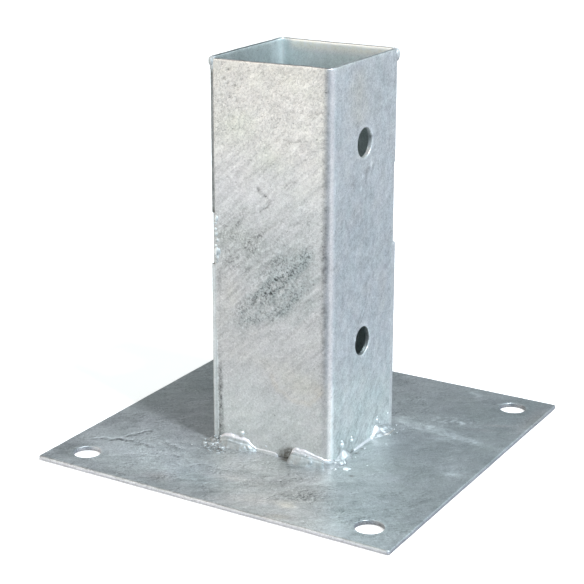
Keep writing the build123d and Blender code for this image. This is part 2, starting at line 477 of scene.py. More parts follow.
def paint_front_face(x, z, where):
    m = Paint(x, z, where)
    # painted reflection: the face is made lighter towards the top, where it reflects the brighter far floor, and a
    # little darker low down
    m.add("tone", np.interp(z, [5, 32, 47, 66, 80, 94, 112, 128, 150], [0.005, -0.042, -0.04, -0.012, -0.033, 0.012, 0.135, 0.19, 0.19]))
    m.add("warm", np.interp(z, [5, 24, 40, 60, 82, 100, 118, 150], [-0.30, -0.20, 0.10, 0.0, -0.20, 0.0, 0.45, 0.85]))
    m.add("coarse", np.interp(z, [5, 40, 80, 100, 114, 124, 150], [0.0, 0.1, 0.4, 0.35, 0.5, 0.78, 0.78]))
    m.add("tone", 0.035 * noise(flat3(x, z, 2), 2.4, 403) * ease(z, 108, 124))
    m.add("flow", np.interp(z, [3, 25, 50, 100, 118, 130, 150], [0.3, 0.4, 0.9, 1.0, 1.0, 0.45, 0.25]))
    m.spots("pink", [(-17, 106, 8, 10, 20, 0.25), (-14, 86, 10, 8, 0, -0.5), (0, 100, 8, 8, 0, 0.1), (-8, 138, 6, 5, 0, 0.4), (10, 137, 5, 4, 0, 0.5),
                     (-14, 128, 8, 6, 0, -0.9), (14, 145, 6, 4, 0, -0.3), (13, 104, 8, 8, 0, -0.3), (0, 117, 6, 5, 0, -0.9), (14, 34, 8, 6, 0, -0.4)])
    # long slanting bands, from the way it left the bath
    c, s = math.cos(math.radians(42)), math.sin(math.radians(42))
    u, w = x * c + z * s, -x * s + z * c
    band = noise(flat3(u / 26, w / 3.2, 0), 1.0, 401) * 0.6 + noise(flat3(u / 12, w / 1.3, 3), 1.0, 402) * 0.4
    m.add("tone", 0.055 * band * np.interp(z, [0, 30, 60, 130, 150], [0.3, 0.5, 1.0, 1.0, 0.5]))
    m.add("warm", 0.15 * band)
    dark = [(-12, 58.2, 4.2, 1.7, 0.8), (-7, 61.5, 3.2, 1.7, 0.9), (-3, 64.5, 3.5, 1.9, 1.0), (0.5, 68.3, 3.5, 2.4, 1.1),
            (5, 71.3, 5, 2.8, 1.2), (9, 75.5, 4, 2.2, 0.9), (13.5, 80, 4.2, 2.5, 1.0), (15.5, 83.5, 2.6, 1.9, 0.8),
            (-10.5, 53.5, 4, 1.5, 0.6), (-4, 56, 4, 1.3, 0.6), (2.4, 58.5, 4, 1.5, 0.7), (7, 61.5, 4, 1.6, 0.8),
            (10.5, 66, 4.6, 1.9, 0.8), (14, 70.5, 3.4, 1.3, 0.7), (19, 66, 4, 1.1, 0.5), (15.5, 61, 3, 1.0, 0.5),
            (12, 57, 3.2, 0.9, 0.45), (19, 74, 3, 1.2, 0.5)]
    total = sum(k * spot(x, z, a, b, ra * 1.15, rb * 1.35, 42) for a, b, ra, rb, k in dark)
    broad = spot(x, z, 1.5, 66.5, 17, 8.5, 42) * 0.55 + spot(x, z, 6, 82, 10, 5, 42) * 0.30 + spot(x, z, -9, 55, 7, 5, 42) * 0.3
    cloud = np.clip(total * 0.75 + broad, 0, 1.6)
    c, s = math.cos(math.radians(42)), math.sin(math.radians(42))
    u, w = x * c + z * s, -x * s + z * c
    rag = 0.62 + 0.55 * noise(flat3(u / 5.5, w / 1.9, 2), 1.0, 411) + 0.55 * noise(flat3(u / 1.7, w / 1.1, 5), 1.0, 412)
    m.add("speck", 0.86 * cloud * np.clip(rag + 0.25, 0.15, 1.6))
    m.add("tone", -0.175 * cloud * np.clip(rag + 0.12, 0, 1.7))
    m.add("warm", -0.75 * np.clip(cloud, 0, 1) * np.clip(rag + 0.2, 0, 1.2))
    m.spots("tone", [(-11.5, 58.5, 2.2, 1.1, 42, -0.10), (-6.6, 61.8, 1.4, 1.1, 42, -0.22), (-2.8, 64.6, 1.8, 1.3, 42, -0.10), (3.4, 68.3, 2.2, 1.4, 42, -0.07),
                     (7.0, 69.5, 2.0, 1.0, 42, -0.08), (12.5, 76.5, 3.0, 1.1, 42, -0.07), (-1.0, 57.0, 2.0, 0.9, 42, -0.08), (8.0, 60.5, 2.4, 0.9, 42, -0.10), (12.5, 66.0, 2.0, 1.0, 42, -0.08)])
    m.spots("tone", [(2.6, 57.4, 1.2, 0.9, 42, 0.16), (-5.8, 56.6, 1.1, 0.8, 42, 0.12), (4.4, 83.0, 0.7, 0.6, 0, 0.22), (-4.6, 82.4, 0.7, 0.6, 0, 0.2), (-9.6, 76.4, 0.7, 0.6, 0, 0.2)])
    veil = [(-17, 87, 8, 6, 0.50), (-9, 81, 8, 4, 0.45), (2, 78, 9, 3.5, 0.35), (-16, 76, 7, 4, 0.4), (-15, 93, 5, 3, 0.3), (-4, 88, 7, 1.6, 0.35), (6, 90, 8, 1.5, 0.25)]
    m.smears("speck", [(a, b, ra, rb, 1.5 * k) for a, b, ra, rb, k in veil], 42, 421, 5, 1.9)
    m.smears("tone", [(a, b, ra, rb, -0.17 * k) for a, b, ra, rb, k in veil], 42, 421, 5, 1.9)
    m.smears("tone", [(-3, 118.5, 9, 2.2, -0.13), (-8, 112, 6, 1.8, -0.07), (12, 104, 8, 1.4, -0.05)], 45, 431, 9, 2)
    m.smears("tone", [(2, 121, 9, 1.0, 0.20), (-14, 112, 6, 3.6, 0.10), (-3, 107, 9, 2.2, 0.10), (15, 134, 6, 8, 0.10), (10, 142, 5, 3, 0.10),
                      (-6, 146, 12, 4, 0.06), (-2, 103, 8, 2, 0.08)], 45, 441, 6, 1.5)
    m.spots("tone", [(10.6, 122.6, 1.5, 1.9, -20, 0.15), (12.9, 121.0, 1.2, 1.1, 0, 0.12), (9.0, 137.6, 2.4, 1.1, 20, 0.16), (14.8, 145.0, 1.8, 1.0, 10, 0.14), (14.4, 137.5, 1.0, 0.7, 0, 0.14),
                     (13.6, 128.4, 2.8, 1.0, 10, 0.12), (0.2, 142.4, 1.4, 1.0, 0, 0.10), (-16.6, 116.6, 2.4, 1.4, 20, 0.10), (-19.6, 120.0, 1.8, 1.0, -30, 0.10), (9.4, 118.4, 1.2, 3.4, -20, 0.10),
                     (-17.4, 143.0, 4, 3, 0, -0.05), (-18, 128, 5, 6, 0, -0.07), (1.0, 117.0, 4.5, 2.2, 45, -0.09), (5.0, 120.5, 2.8, 1.4, 45, -0.06)])
    m.spots("warm", [(13, 32, 9, 6, 0, 0.55), (21, 32.5, 3.5, 3, 0, 0.5), (-17, 64, 5, 9, 0, 0.35), (-3, 38, 6, 3, 0, 0.3)])
    m.spots("tone", [(21, 32, 3.2, 2.6, 0, -0.06), (-21, 74, 3, 9, 0, -0.04)])
    # hairline marks
    for pts, k in (([(-4.8, 106.2), (-3.1, 104.2), (-1.6, 103.3), (0.4, 101.4), (-1.0, 99.6), (-4.0, 97.2)], -0.50),
                   ([(0.4, 101.4), (3.0, 102.2)], -0.26), ([(6.4, 108.0), (8.2, 109.4), (11.3, 110.2)], -0.26),
                   ([(-23.5, 121.4), (-20, 121.0), (-17.5, 120.2)], -0.25), ([(2, 134.8), (14, 135.8), (22, 136.6)], -0.14),
                   ([(6, 124.4), (20, 125.8)], -0.18), ([(-15, 96), (-9, 98)], -0.08)):
        m.line("tone", pts, 0.36, k, 0.8, 3, 0.5)
        m.line("lift", pts, 0.55, k * 0.12, 0.8, 3, 0.7)
    for pts in ([(-12, 20.5), (0, 21.6), (8, 21.0)], [(-4, 24), (10, 23.2)], [(3, 18.8), (14, 17.6), (21, 17.9)], [(-18, 26.5), (-8, 28)], [(8, 26), (16, 27.4)]):
        m.line("tone", pts, 0.30, 0.05, 0.3, 5)
    # a wandering brown-edged tide mark
    m.line("tone", [(1, 34), (5, 38.5), (12, 42.5), (20, 42)], 0.5, 0.035, 0.8, 9)
    m.line("warm", [(1, 34), (3, 29), (10, 25.5), (18, 26), (22, 31)], 1.0, 0.5, 0.8, 9)
    # pits in the zinc, dented in, with painted shade in each pit and a painted highlight just above and to the left
    pits = [(-17.3, 148.9, 0.8), (-19.2, 145.4, 0.6), (-17.7, 143.5, 0.6), (-14.6, 143.0, 0.7), (-11.8, 145.8, 0.6), (-20.4, 139.1, 0.6),
            (-13.8, 137.6, 0.7), (-15.5, 131.4, 0.9), (-8.6, 149.4, 0.5), (-20.7, 133.0, 0.5), (-16.6, 138.8, 0.5), (14.8, 118.8, 0.6)]
    m.spots("lift", [(a, b, r, r, 0, -0.14) for a, b, r in pits])
    m.spots("tone", [(a + 0.1, b - 0.15, r * 0.9, r * 0.8, 0, -0.55) for a, b, r in pits])
    m.spots("tone", [(a - 0.7, b + 0.55, r * 0.8, r * 0.7, 0, 0.18) for a, b, r in pits])
    # small raised bumps, each with a painted highlight on it and painted shade just below it
    bumps = [(12.6, 100.6), (-11.5, 15.0), (5.9, 17.2), (12.9, 17.1), (12.0, 35.2), (4.6, 83.0), (-3.0, 82.1), (2.0, 66.4), (-14.6, 18.2)]
    m.spots("lift", [(a, b, 0.6, 0.6, 0, 0.16) for a, b in bumps])
    m.spots("tone", [(a, b, 0.55, 0.55, 0, 0.20) for a, b in bumps] + [(a + 0.3, b - 0.9, 0.5, 0.4, 0, -0.14) for a, b in bumps])
    # the unwelded gap at the foot, dark and a little rusty
    edge = 2.7 + np.clip((x - 2.0) * 0.45, 0, 3.0) + 0.5 * noise(flat3(x, z, 0), 1.1, 451)
    gap = ease(x, 1.6, 7.0) * (1 - ease(x, 10.9, 11.6)) * (1 - ease(z, edge, edge + 1.5))
    m.add("stain", gap * np.clip(0.70 + 0.45 * noise(flat3(x, z, 0), 0.9, 452), 0, 1))
    m.add("tone", -0.12 * spot(x, z, 7.5, 6.0, 4.0, 2.4))
    m.spots("stain", [(-24.2, 3.6, 0.7, 0.6, 0, 0.4)])
    m.line("tone", [(-13.6, 6.2), (-13.5, 8.4), (-12.0, 9.2)], 0.35, -0.14)
    rag = noise(flat3(z / 2.4, x / 0.6, 0), 1.0, 453) + 0.6 * noise(flat3(z / 0.9, x / 0.5, 4), 1.0, 454)
    crust = np.exp(-(((x + 22.2 - 0.35 * rag) / (1.0 + 1.2 * (1 - ease(z, 4, 14)))) ** 2)) * (1 - ease(z, 26, 42)) * np.clip(0.9 + 0.6 * rag, 0, 1.5)
    m.add("tone", -0.46 * crust)
    m.add("speck", 0.9 * crust)
    m.add("lift", 0.10 * crust * rag)
    m.add("tone", -0.16 * np.exp(-(((x + 22.0) / 0.5) ** 2)) * (ease(z, 52, 62) * (1 - ease(z, 70, 74)) + 0.25 * ease(z, 34, 44) * (1 - ease(z, 52, 62))))
    return m.v


def paint_right_face(y, z, where):
    m = Paint(y, z, where)
    m.add("tone", np.interp(z, [5, 25, 40, 60, 70, 110, 122, 150], [0.10, 0.10, 0.07, 0.01, -0.02, -0.015, 0.0, 0.03]))
    m.add("warm", np.interp(z, [5, 30, 60, 150], [-0.40, -0.25, -0.10, -0.05]))
    m.add("pink", -0.35)
    m.add("coarse", 0.45)
    m.add("flow", 0.12)
    wave = noise(flat3(y / 1.6, z / 14, 0), 1.0, 461)
    m.add("tone", 0.035 * wave + 0.040 * noise(flat3(y / 0.8, z / 7, 0), 1.0, 462) + 0.045 * noise(flat3(y / 3, z / 5, 6), 1.0, 464))
    swirl = flat3(y + 2.5 * noise(flat3(y, z, 1), 8, 466), z + 2.5 * noise(flat3(y, z, 8), 8, 467), 0)
    m.add("tone", 0.085 * noise(swirl, 2.8, 468) + 0.060 * noise(swirl, 1.5, 469))
    m.add("warm", 0.35 * noise(swirl, 7, 470))
    c, s = math.cos(math.radians(45)), math.sin(math.radians(45))
    u, w = y * c + z * s, -y * s + z * c
    hatch = noise(flat3(u / 9, w / 0.9, 0), 1.0, 463)
    m.add("tone", (0.15 * hatch + 0.09 * noise(flat3(u / 5, w / 0.5, 3), 1.0, 465)) * (1 - ease(z, 26, 50)) + 0.04 * hatch * ease(z, 60, 90) * (1 - ease(z, 116, 128)))
    m.spots("warm", [(-4.8, 138, 7, 12, 0, 0.85), (16, 62, 4, 7, 0, 0.5)])
    m.spots("tone", [(-4.8, 138, 6, 11, 0, -0.05), (14, 136, 7, 14, 0, -0.03), (-18, 112, 4, 12, 0, 0.04), (18, 88, 3, 12, 0, -0.03),
                     (-9, 104, 5, 6, 45, -0.04), (-12, 116, 6, 2, 45, 0.04)])
    # runs of zinc below and above the holes
    m.line("tone", [(6.4, 64), (3.4, 59.5), (-0.5, 54), (-4.4, 50.4)], 0.55, -0.18)
    m.line("tone", [(4.6, 62.5), (1.0, 57.0), (-3.2, 52.6)], 0.55, 0.09)
    m.line("tone", [(3.2, 63.5), (0.0, 57.6), (-5.6, 51.5)], 0.45, -0.13)
    m.line("lift", [(5.4, 63.2), (2.0, 58.0), (-3.6, 51.2)], 0.9, 0.05)
    m.spots("tone", [(4.6, 112.0, 0.6, 1.8, 0, 0.48), (1.4, 110.0, 1.0, 1.7, -35, -0.36), (-1.9, 108.9, 0.6, 0.7, 0, 0.40), (-3.1, 104.7, 0.8, 0.9, 45, 0.34), (2.6, 108.0, 0.5, 1.8, -35, 0.18), (6.6, 113.4, 0.5, 2.6, -20, 0.12),
                     (5.6, 110.5, 0.6, 2.6, -35, -0.18), (4.9, 124.0, 0.5, 0.5, 0, 0.34), (5.25, 123.0, 0.5, 0.5, 0, -0.35), (3.4, 114.2, 0.5, 0.5, 0, 0.18)])
    m.spots("lift", [(4.6, 112.0, 0.6, 1.7, 0, 0.12), (1.4, 110.0, 0.9, 1.5, -35, -0.08), (4.9, 124.0, 0.5, 0.5, 0, 0.12), (-6.5, 46.8, 0.75, 0.75, 0, 0.35)])
    m.spots("tone", [(-6.5, 46.8, 0.6, 0.6, 0, 0.28), (-8.0, 45.2, 1.0, 2.2, 20, -0.08), (-8.3, 48.0, 0.6, 1.6, -20, -0.06)])
    m.line("tone", [(-21, 42.4), (-15, 43.2), (-8.5, 40.8), (-3.5, 36.5), (-0.3, 32.0)], 0.5, 0.05, 0.4, 11)
    m.line("tone", [(-21, 41.4), (-15, 42.2), (-9.0, 39.8), (-4.3, 35.7)], 1.2, -0.03, 0.4, 11)
    # dark rings round the drops near the foot
    m.line("tone", [(-18.0, 5.0), (-17.2, 7.6), (-14.6, 9.0), (-12.8, 6.8), (-12.2, 4.2)], 0.45, -0.20, 0.3, 21)
    m.line("tone", [(-11.2, 4.6), (-9.4, 7.6), (-7.2, 8.2), (-6.2, 6.0)], 0.40, -0.20, 0.3, 22)
    m.line("tone", [(9.6, 9.4), (12.0, 9.8), (15.0, 8.2)], 0.35, -0.10, 0.3, 23)
    m.spots("tone", [(4.8, 5.0, 2.6, 1.2, 10, 0.14), (16.5, 5.2, 2.0, 1.0, -10, 0.10)])
    # rings of thicker zinc round the holes, raised, with a painted highlight on the +Y half of each hole's rounded edge
    for hz in SCREW_Z:
        d = np.hypot(y - SCREW_Y, z - hz)
        m.add("tone", 0.22 * np.exp(-(((d - 6.0) / 0.45) ** 2)) * ease(y, -3, 3))
        m.add("tone", 0.05 * np.exp(-(((d - 6.5) / 0.8) ** 2)))
        m.add("lift", 0.07 * np.exp(-(((d - 6.4) / 0.9) ** 2)))
    m.add("stain", 0.8 * spot(y, z, -7.5, 2.2, 0.9, 0.9) * (0.7 + 0.5 * noise(flat3(y, z, 0), 0.7, 471)))
    return m.v


def paint_plate(x, y, where):
    m = Paint(x, y, where)
    f = flat3(x, y, 0)
    c, s = math.cos(math.radians(31)), math.sin(math.radians(31))
    u, w = x * c + y * s, -x * s + y * c
    flow = noise(flat3(u / 9, w / 1.7, 0), 1.0, 481) * 0.6 + noise(flat3(u / 4, w / 0.9, 5), 1.0, 482) * 0.4
    front = spot(x, y, 22, -55, 42, 20, 14)
    m.add("tone", flow * (0.03 + 0.06 * front) + 0.07 * noise(f, 3.2, 485) * front)
    left = spot(x, y, -46, -52, 34, 18)
    m.add("tone", 0.125 * left - 0.05 * front)
    m.add("warm", 0.12 * left - 0.2 * spot(x, y, -10, -60, 20, 10))
    crumb = flat3(x + 2.0 * noise(f, 6, 486), y + 2.0 * noise(f, 6, 487), 0)
    m.add("tone", 0.055 * noise(crumb, 2.1, 488) * (0.5 + 0.8 * left + 0.4 * front))
    m.add("warm", front * 0.22 + flow * 0.35 * front - 0.20 * ease(x, 30, 60) - 0.30)
    m.add("flow", 0.25 + 0.30 * front)
    m.add("coarse", 0.25 + 0.75 * spot(x, y, -40, -50, 30, 24) + 0.3 * front - 0.70 * ease(x, 22, 42) * ease(y, -46, -24) * (1 - front))
    m.add("tone", -0.07 * ease(x, 30, 50) * ease(y, -40, -10) - 0.02 * ease(x, 25, 40) * ease(y, -60, -40))
    m.spots("tone", [(-14, -60, 13, 7, 12, 0.085), (50, 46, 16, 12, 0, -0.045)])
    m.spots("warm", [(-14, -60, 13, 7, 12, -0.30)])
    m.spots("tone", [(-32, -56, 16, 9, 15, 0.09), (-8, -60, 12, 8, 20, 0.05), (20, -50, 16, 6, 20, -0.08), (50, -52, 16, 12, 20, -0.13), (34, -52, 8, 5, 20, -0.06)])
    m.spots("warm", [(-50, -50, 20, 16, 0, -0.20), (-20, -52, 16, 10, 0, -0.25), (50, -50, 18, 14, 0, -0.25)])
    m.add("pink", 0.35 * noise(f, 16, 484) - 0.15)
    m.add("tone", 0.07 * noise(f, 13, 483) * (1 - 0.4 * ease(x, 20, 40)))
    m.spots("tone", [(-45, -53, 24, 15, 8, 0.22), (-24, -58, 16, 10, 0, 0.10), (-70, -62, 7, 8, 0, -0.30), (-72, -35, 7, 16, 0, -0.14), (-66, -45, 6, 5, 0, 0.06),
                     (-55, 30, 30, 26, 0, 0.0), (60, -55, 14, 12, 0, 0.06), (70, -65, 10, 8, 0, 0.06), (22, 60, 26, 18, 0, -0.05), (60, 10, 20, 20, 0, -0.04),
                     (-40.2, -72.0, 4.6, 1.3, 0, -0.32), (-29.5, -47.7, 2.2, 1.1, 20, -0.30), (-24.9, -66.2, 5.5, 3.6, 10, -0.16), (-62.5, -28.1, 7, 1.6, 25, -0.14),
                     (-59.3, -33.3, 2.2, 1.0, 30, -0.20), (-34, -44, 3.6, 1.4, 20, -0.10), (-20, -44, 4, 2.0, 20, -0.10), (-12, -60, 4, 2, 25, -0.08), (-47, -64, 8, 2.4, 5, 0.08)])
    m.spots("tone", [(29.7, -63.6, 2.4, 1.3, 30, 0.28), (31.2, -62.2, 1.0, 1.9, 31, 0.20), (23.9, -65.9, 6.5, 1.0, 25, 0.15), (29.9, -72.2, 5, 1.7, 20, -0.14),
                     (18, -52.5, 7, 1.3, 31, 0.09), (10, -45, 6, 0.9, 31, -0.09), (24, -44, 4, 1.1, 31, 0.12), (28.5, -42, 3, 1.0, 31, 0.12), (44, -67, 2.5, 1.4, 31, 0.16), (48, -61, 3.5, 0.8, 31, 0.10),
                     (5, -62, 8, 1.3, 25, 0.07), (-5, -52, 7, 1.2, 25, 0.06)])
    m.spots("warm", [(-24.9, -66.2, 5.5, 3.6, 10, 0.7), (29.9, -72.2, 5, 2.0, 20, 0.9), (29.7, -63.6, 3, 2, 30, 0.5), (73.6, 55.5, 4, 15, 0, 0.9), (64, 42.5, 6, 1.0, 25, 0.8), (60, 35, 7, 1.2, 20, 0.4)])
    m.spots("speck", [(29.4, -52.3, 7, 4.2, 31, 1.0), (27, -57, 6, 3.2, 31, 0.5), (-33, -58, 9, 5, 31, 0.35), (-5, -50, 12, 7, 31, 0.25), (45, -55, 6, 3, 31, 0.4)])
    m.add("tone", (0.30 * noise(crumb, 1.5, 489) - 0.03) * spot(x, y, 29.4, -52, 8.5, 4.8, 31))
    veil = (noise(crumb, 2.2, 497) * 0.9 + 0.55) * spot(x, y, 40, 25.2, 12, 3.4, -4) + (noise(crumb, 1.6, 498) * 0.9 + 0.7) * (spot(x, y, 56, 22.6, 12, 1.8, -5) + 0.8 * spot(x, y, 50.5, 19.4, 4.5, 1.4, 25))
    m.add("tone", 0.56 * np.clip(veil, 0, 1.1))
    m.add("tone", 1.9 * np.clip(noise(crumb, 1.7, 499) - 0.15, 0, 0.5) * (spot(x, y, 48, 38.5, 7, 3.6, 0) + 0.4 * spot(x, y, 40, 34, 8, 4, 0)))
    m.add("tone", 0.55 * np.clip(noise(crumb, 2.0, 475) + 0.35, 0, 1) * spot(x, y, 66.5, -5.7, 5.6, 4.2, 0))
    m.add("tone", 0.70 * np.clip(noise(crumb, 1.8, 476) + 0.25, 0, 1) * (spot(x, y, 28.2, 27.0, 5.0, 2.4, -40) + spot(x, y, 41.5, 68.6, 4.6, 2.2, -40)))
    m.spots("tone", [(27.3, -62.2, 2.6, 1.5, 35, 0.24), (-2, -53.4, 9, 1.5, 8, 0.10), (-4, -56.5, 7, 1.0, 12, 0.07), (14, -66, 7, 2.0, 30, 0.08), (-22, -47, 12, 6, 10, 0.04)])
    m.spots("warm", [(27.3, -62.2, 3.2, 2.4, 35, 0.9), (-2, -53.8, 10, 3.0, 8, 0.55), (16, -65, 9, 3.5, 25, 0.5)])
    # painted reflection of the socket's front corner on the plate, in front of the corner
    m.spots("tone", [(29.7, -38.4, 1.5, 2.2, -20, 0.34), (28.6, -41.2, 1.8, 1.2, 30, 0.16)])
    m.line("tone", [(42.4, -52.6), (47.8, -61.0), (53.6, -69.6)], 0.35, 0.20, 0.1, 28)
    m.line("tone", [(40.4, -52.6), (45.8, -61.0), (51.4, -69.8)], 1.5, 0.12, 0.2, 29)
    # soot and crumbs round the left corner weld
    m.add("tone", (0.30 * noise(f, 1.7, 496) - 0.06) * spot(x, y, -21.5, -33.4, 7.0, 4.6, -10) * 1.7)
    m.add("speck", 0.7 * spot(x, y, -22.5, -33.0, 6.0, 4.0, -10))
    # a pale veil drifting from the far weld, and other pale marks on the right
    m.smears("tone", [(29, 26.5, 6, 4, 0.14), (37, 27.5, 8, 3.6, 0.20), (46, 27.5, 7, 2.6, 0.22), (56, 25, 8, 1.6, 0.26), (65.5, 22.6, 4, 1.2, 0.30), (47.5, 18.6, 3.6, 0.9, 0.16)], -6, 491, 5, 1.4)
    m.spots("tone", [(41.6, 68.6, 4.2, 2.0, -20, 0.16), (66.5, -5.7, 5.4, 4.0, 0, 0.04), (66.6, -9.4, 2.6, 1.6, 10, 0.42), (44.4, 30.8, 0.6, 0.6, 0, 0.4), (47.8, 37.4, 0.8, 0.6, 0, 0.35),
                     (50.5, 35.4, 0.5, 0.5, 0, 0.3), (49.6, 33.8, 0.5, 0.4, 0, 0.3), (36.6, 33.0, 0.5, 0.5, 0, 0.3), (27.6, 30.6, 3.2, 1.6, 20, 0.25), (73.2, 20, 2.4, 5, 0, 0.10)])
    m.line("tone", [(61.5, -47), (63.5, -38), (61.6, -27.7)], 0.4, 0.10, 0.4, 13)
    m.line("tone", [(66.5, -43.6), (69.5, -36.0), (72.9, -30.5)], 0.4, 0.14, 0.3, 15)
    m.line("tone", [(56, -18), (60, -12), (66, -10)], 0.35, 0.08, 0.3, 17)
    m.line("tone", [(40, 2), (50, 4), (58, 3)], 0.35, 0.06, 0.5, 19)
    # wrinkles in the zinc on the left: raised, with a painted highlight along the back side of each and painted shade
    # along its front side
    for pts, k in (([(-67.2, -51.4), (-63.5, -48.6), (-59.3, -47.8), (-56.9, -45.8), (-56.7, -43.4), (-56.2, -40.2), (-54.3, -37.3), (-53.1, -34.3), (-51.0, -32.4)], 1.2),
                   ([(-56.9, -45.8), (-53.3, -44.7), (-47.4, -45.6), (-43.0, -45.2)], 0.9), ([(-41.4, -38.6), (-38.5, -39.8), (-35.4, -40.6)], 0.7), ([(-28.6, -47.6), (-25.4, -48.6), (-22.0, -49.9)], 0.8),
                   ([(-50, -47), (-46, -45.4), (-42, -45.6)], 0.6), ([(-20, -52), (-15, -49), (-9, -49.6)], 0.6), ([(-30, -62), (-26, -60.2)], 0.6),
                   ([(-18, -64), (-12, -62.5), (-8, -59)], 0.5), ([(-2, -60.5), (4, -56), (10, -55)], 0.35)):
        m.line("lift", pts, 0.8, 0.018 * k, 1.3, 21, 0.7)
        m.line("tone", [(a - 0.35, b + 0.8) for a, b in pts], 0.62, 0.42 * k, 1.3, 21, 1.1)
        m.line("tone", [(a + 0.3, b - 0.7) for a, b in pts], 0.56, -0.46 * k, 1.3, 21, 1.1)
    # round the socket's foot: painted shade next to the walls, the gap, a few pits
    d = np.maximum(abs(x - SX), abs(y - SY)) - H
    m.add("tone", -0.05 * np.exp(-((np.clip(d, 0, None) / 5) ** 2)))
    m.add("stain", ease(x, 4.0, 7.0) * (1 - ease(x, 10.2, 11.2)) * (1 - ease(SY - y, 27.2, 28.8)) * (0.75 + 0.3 * noise(f, 0.9, 495)) * (y < 0))
    m.spots("stain", [(35.8, -29.1, 0.75, 0.6, 30, 0.9), (27.6, -10.2, 0.8, 0.7, 0, 0.7), (27.6, -5.4, 0.5, 0.5, 0, 0.6), (73.0, 74.0, 0.9, 0.6, 0, 0.6), (-33, -70.6, 0.5, 0.4, 0, 0.5),
                      (9, -47.6, 0.45, 0.4, 0, 0.5), (22.6, -60.5, 0.45, 0.4, 0, 0.5), (-3, -41.6, 0.4, 0.4, 0, 0.4), (26.6, 6.6, 0.6, 0.5, 0, 0.6)])
    m.spots("lift", [(35.8, -29.1, 0.9, 0.8, 30, -0.18), (-29.5, -47.7, 2.0, 1.1, 20, -0.06)])
    for sx_ in (-1, 1):
        for sy_ in (-1, 1):
            r = np.hypot(x - sx_ * HOLES_X, y - sy_ * HOLES_Y)
            m.add("lift", 0.10 * np.exp(-(((r - 6.3) / 0.8) ** 2)))
            m.add("tone", 0.04 * np.exp(-(((r - 5.9) / 0.6) ** 2)) - 0.07 * np.exp(-(((r - 7.4) / 1.0) ** 2)))
    return m.v


# ---- base plate ------------------------------------------------------------
def make_plate():
    edge, rim_r = 0.45, 0.25
    half = PLATE / 2 - edge
    block = 9.5
    c = PLATE / 2 - CORNER_R
    sx = sorted({-half, half, -c, c, *[s * HOLES_X + k * block for s in (-1, 1) for k in (-1, 1)]})
    sy = sorted({-half, half, -c, c, *[s * HOLES_Y + k * block for s in (-1, 1) for k in (-1, 1)]})
    holes = [
        (a * HOLES_X, b * HOLES_Y, ANCHOR_R + rim_r, block) for a in (-1, 1) for b in (-1, 1)
    ]
    pts, quads = panel(ladder(sx, 0.72), ladder(sy, 0.72), holes, 0.6)
    # rounded corners: the corner squares are pressed into quarter discs
    r = half - c
    u = np.clip((abs(pts) - c) / r, 0, 1)
    both = (u > 0).all(1)
    round_u = u.copy()
    round_u[:, 0] = u[:, 0] * np.sqrt(1 - u[:, 1] ** 2 / 2)
    round_u[:, 1] = u[:, 1] * np.sqrt(1 - u[:, 0] ** 2 / 2)
    pts[both] = (np.sign(pts) * (c + round_u * r))[both]
    svw, faces = thicken(pts, quads, T / 2, edge, rim_r)
    x, y, w = svw.T
    up = w > 0
    flat = flat3(x, y, 0)
    top = 0.10 * fbm(flat, 46, 301, 2) + 0.030 * noise(flat, 11, 302) + 0.012 * noise(flat, 3.4, 303)
    low = 0.05 * fbm(flat, 40, 311, 2) + 0.02 * noise(flat, 8, 312)
    f = (w / (T / 2) + 1) / 2
    z = T / 2 + w + top * f - 0 * low
    z = np.where(up, z, T / 2 + w + np.maximum(low, 0) * (1 - f) + top * f)
    # the sheared edge wavers a little
    px, py = abs(x), abs(y)
    near = ease(np.maximum(px, py), 70, 74.5)
    wob = 0.10 * noise(flat3(x, y, 7), 9, 305) - 0.10
    x = x + np.sign(x) * near * wob * (px > py)
    y = y + np.sign(y) * near * wob * (py >= px)
    marks = paint_plate(x, y, ease(f, 0.45, 0.9))
    z = z + marks.pop("lift")
    # painted highlight along the sheared front edge; the others are duller
    rim = 1 - ease(f, 0.55, 0.95)
    marks["tone"] += rim * ease(-y, 74.0, 74.6) * 0.62
    marks["warm"] += rim * ease(-y, 74.0, 74.6) * 0.1
    marks["pink"] += rim * ease(-y, 74.0, 74.6) * 0.9
    # the right edge: a touch of painted shade and a mauve tint
    marks["tone"] -= rim * ease(x, 74.0, 74.6) * 0.06
    marks["pink"] += rim * ease(x, 74.0, 74.6) * 0.9
    marks["warm"] += rim * ease(x, 74.0, 74.6) * 0.25
    # the anchor holes' bores: painted shade in the right-hand holes, a little lighter in the left-hand ones, all tinted
    # mauve
    for a in (-1, 1):
        for b in (-1, 1):
            r = np.hypot(x - a * HOLES_X, y - b * HOLES_Y)
            bore = (1 - ease(r, ANCHOR_R + 0.2, ANCHOR_R + 0.45)) * (1 - ease(f, 0.9, 1.0))
            marks["tone"] += (0.05 if a < 0 else -0.22) * bore
            marks["pink"] += 0.6 * bore
    verts = np.stack([x, y, np.clip(z, 0.0, None)], 1)
    return build(
        "plate", verts, faces, material=PLATE_ZINC,
        nodes=("base_plate",), data=marks,
    )


# ---- the folded angles -----------------------------------------------------
L1 = 2 * H - FOLD - T
ARC = (FOLD - T / 2) * math.pi / 2
LENGTH = 2 * L1 + ARC


def fold(s, w):
    """Where a point of the sheet lies, from its place along the fold path."""
    mid = T / 2
    x = -H + T + s
    y = -H + mid - w
    a = np.clip((s - L1) / (FOLD - mid), 0, math.pi / 2)
    rho = FOLD - mid + w
    bent = s > L1
    x = np.where(bent, H - FOLD + rho * np.sin(a), x)
    y = np.where(bent, -H + FOLD - rho * np.cos(a), y)
    past = s > L1 + ARC
    x = np.where(past, H - mid + w, x)
    y = np.where(past, -H + FOLD + (s - L1 - ARC), y)
    return x, y


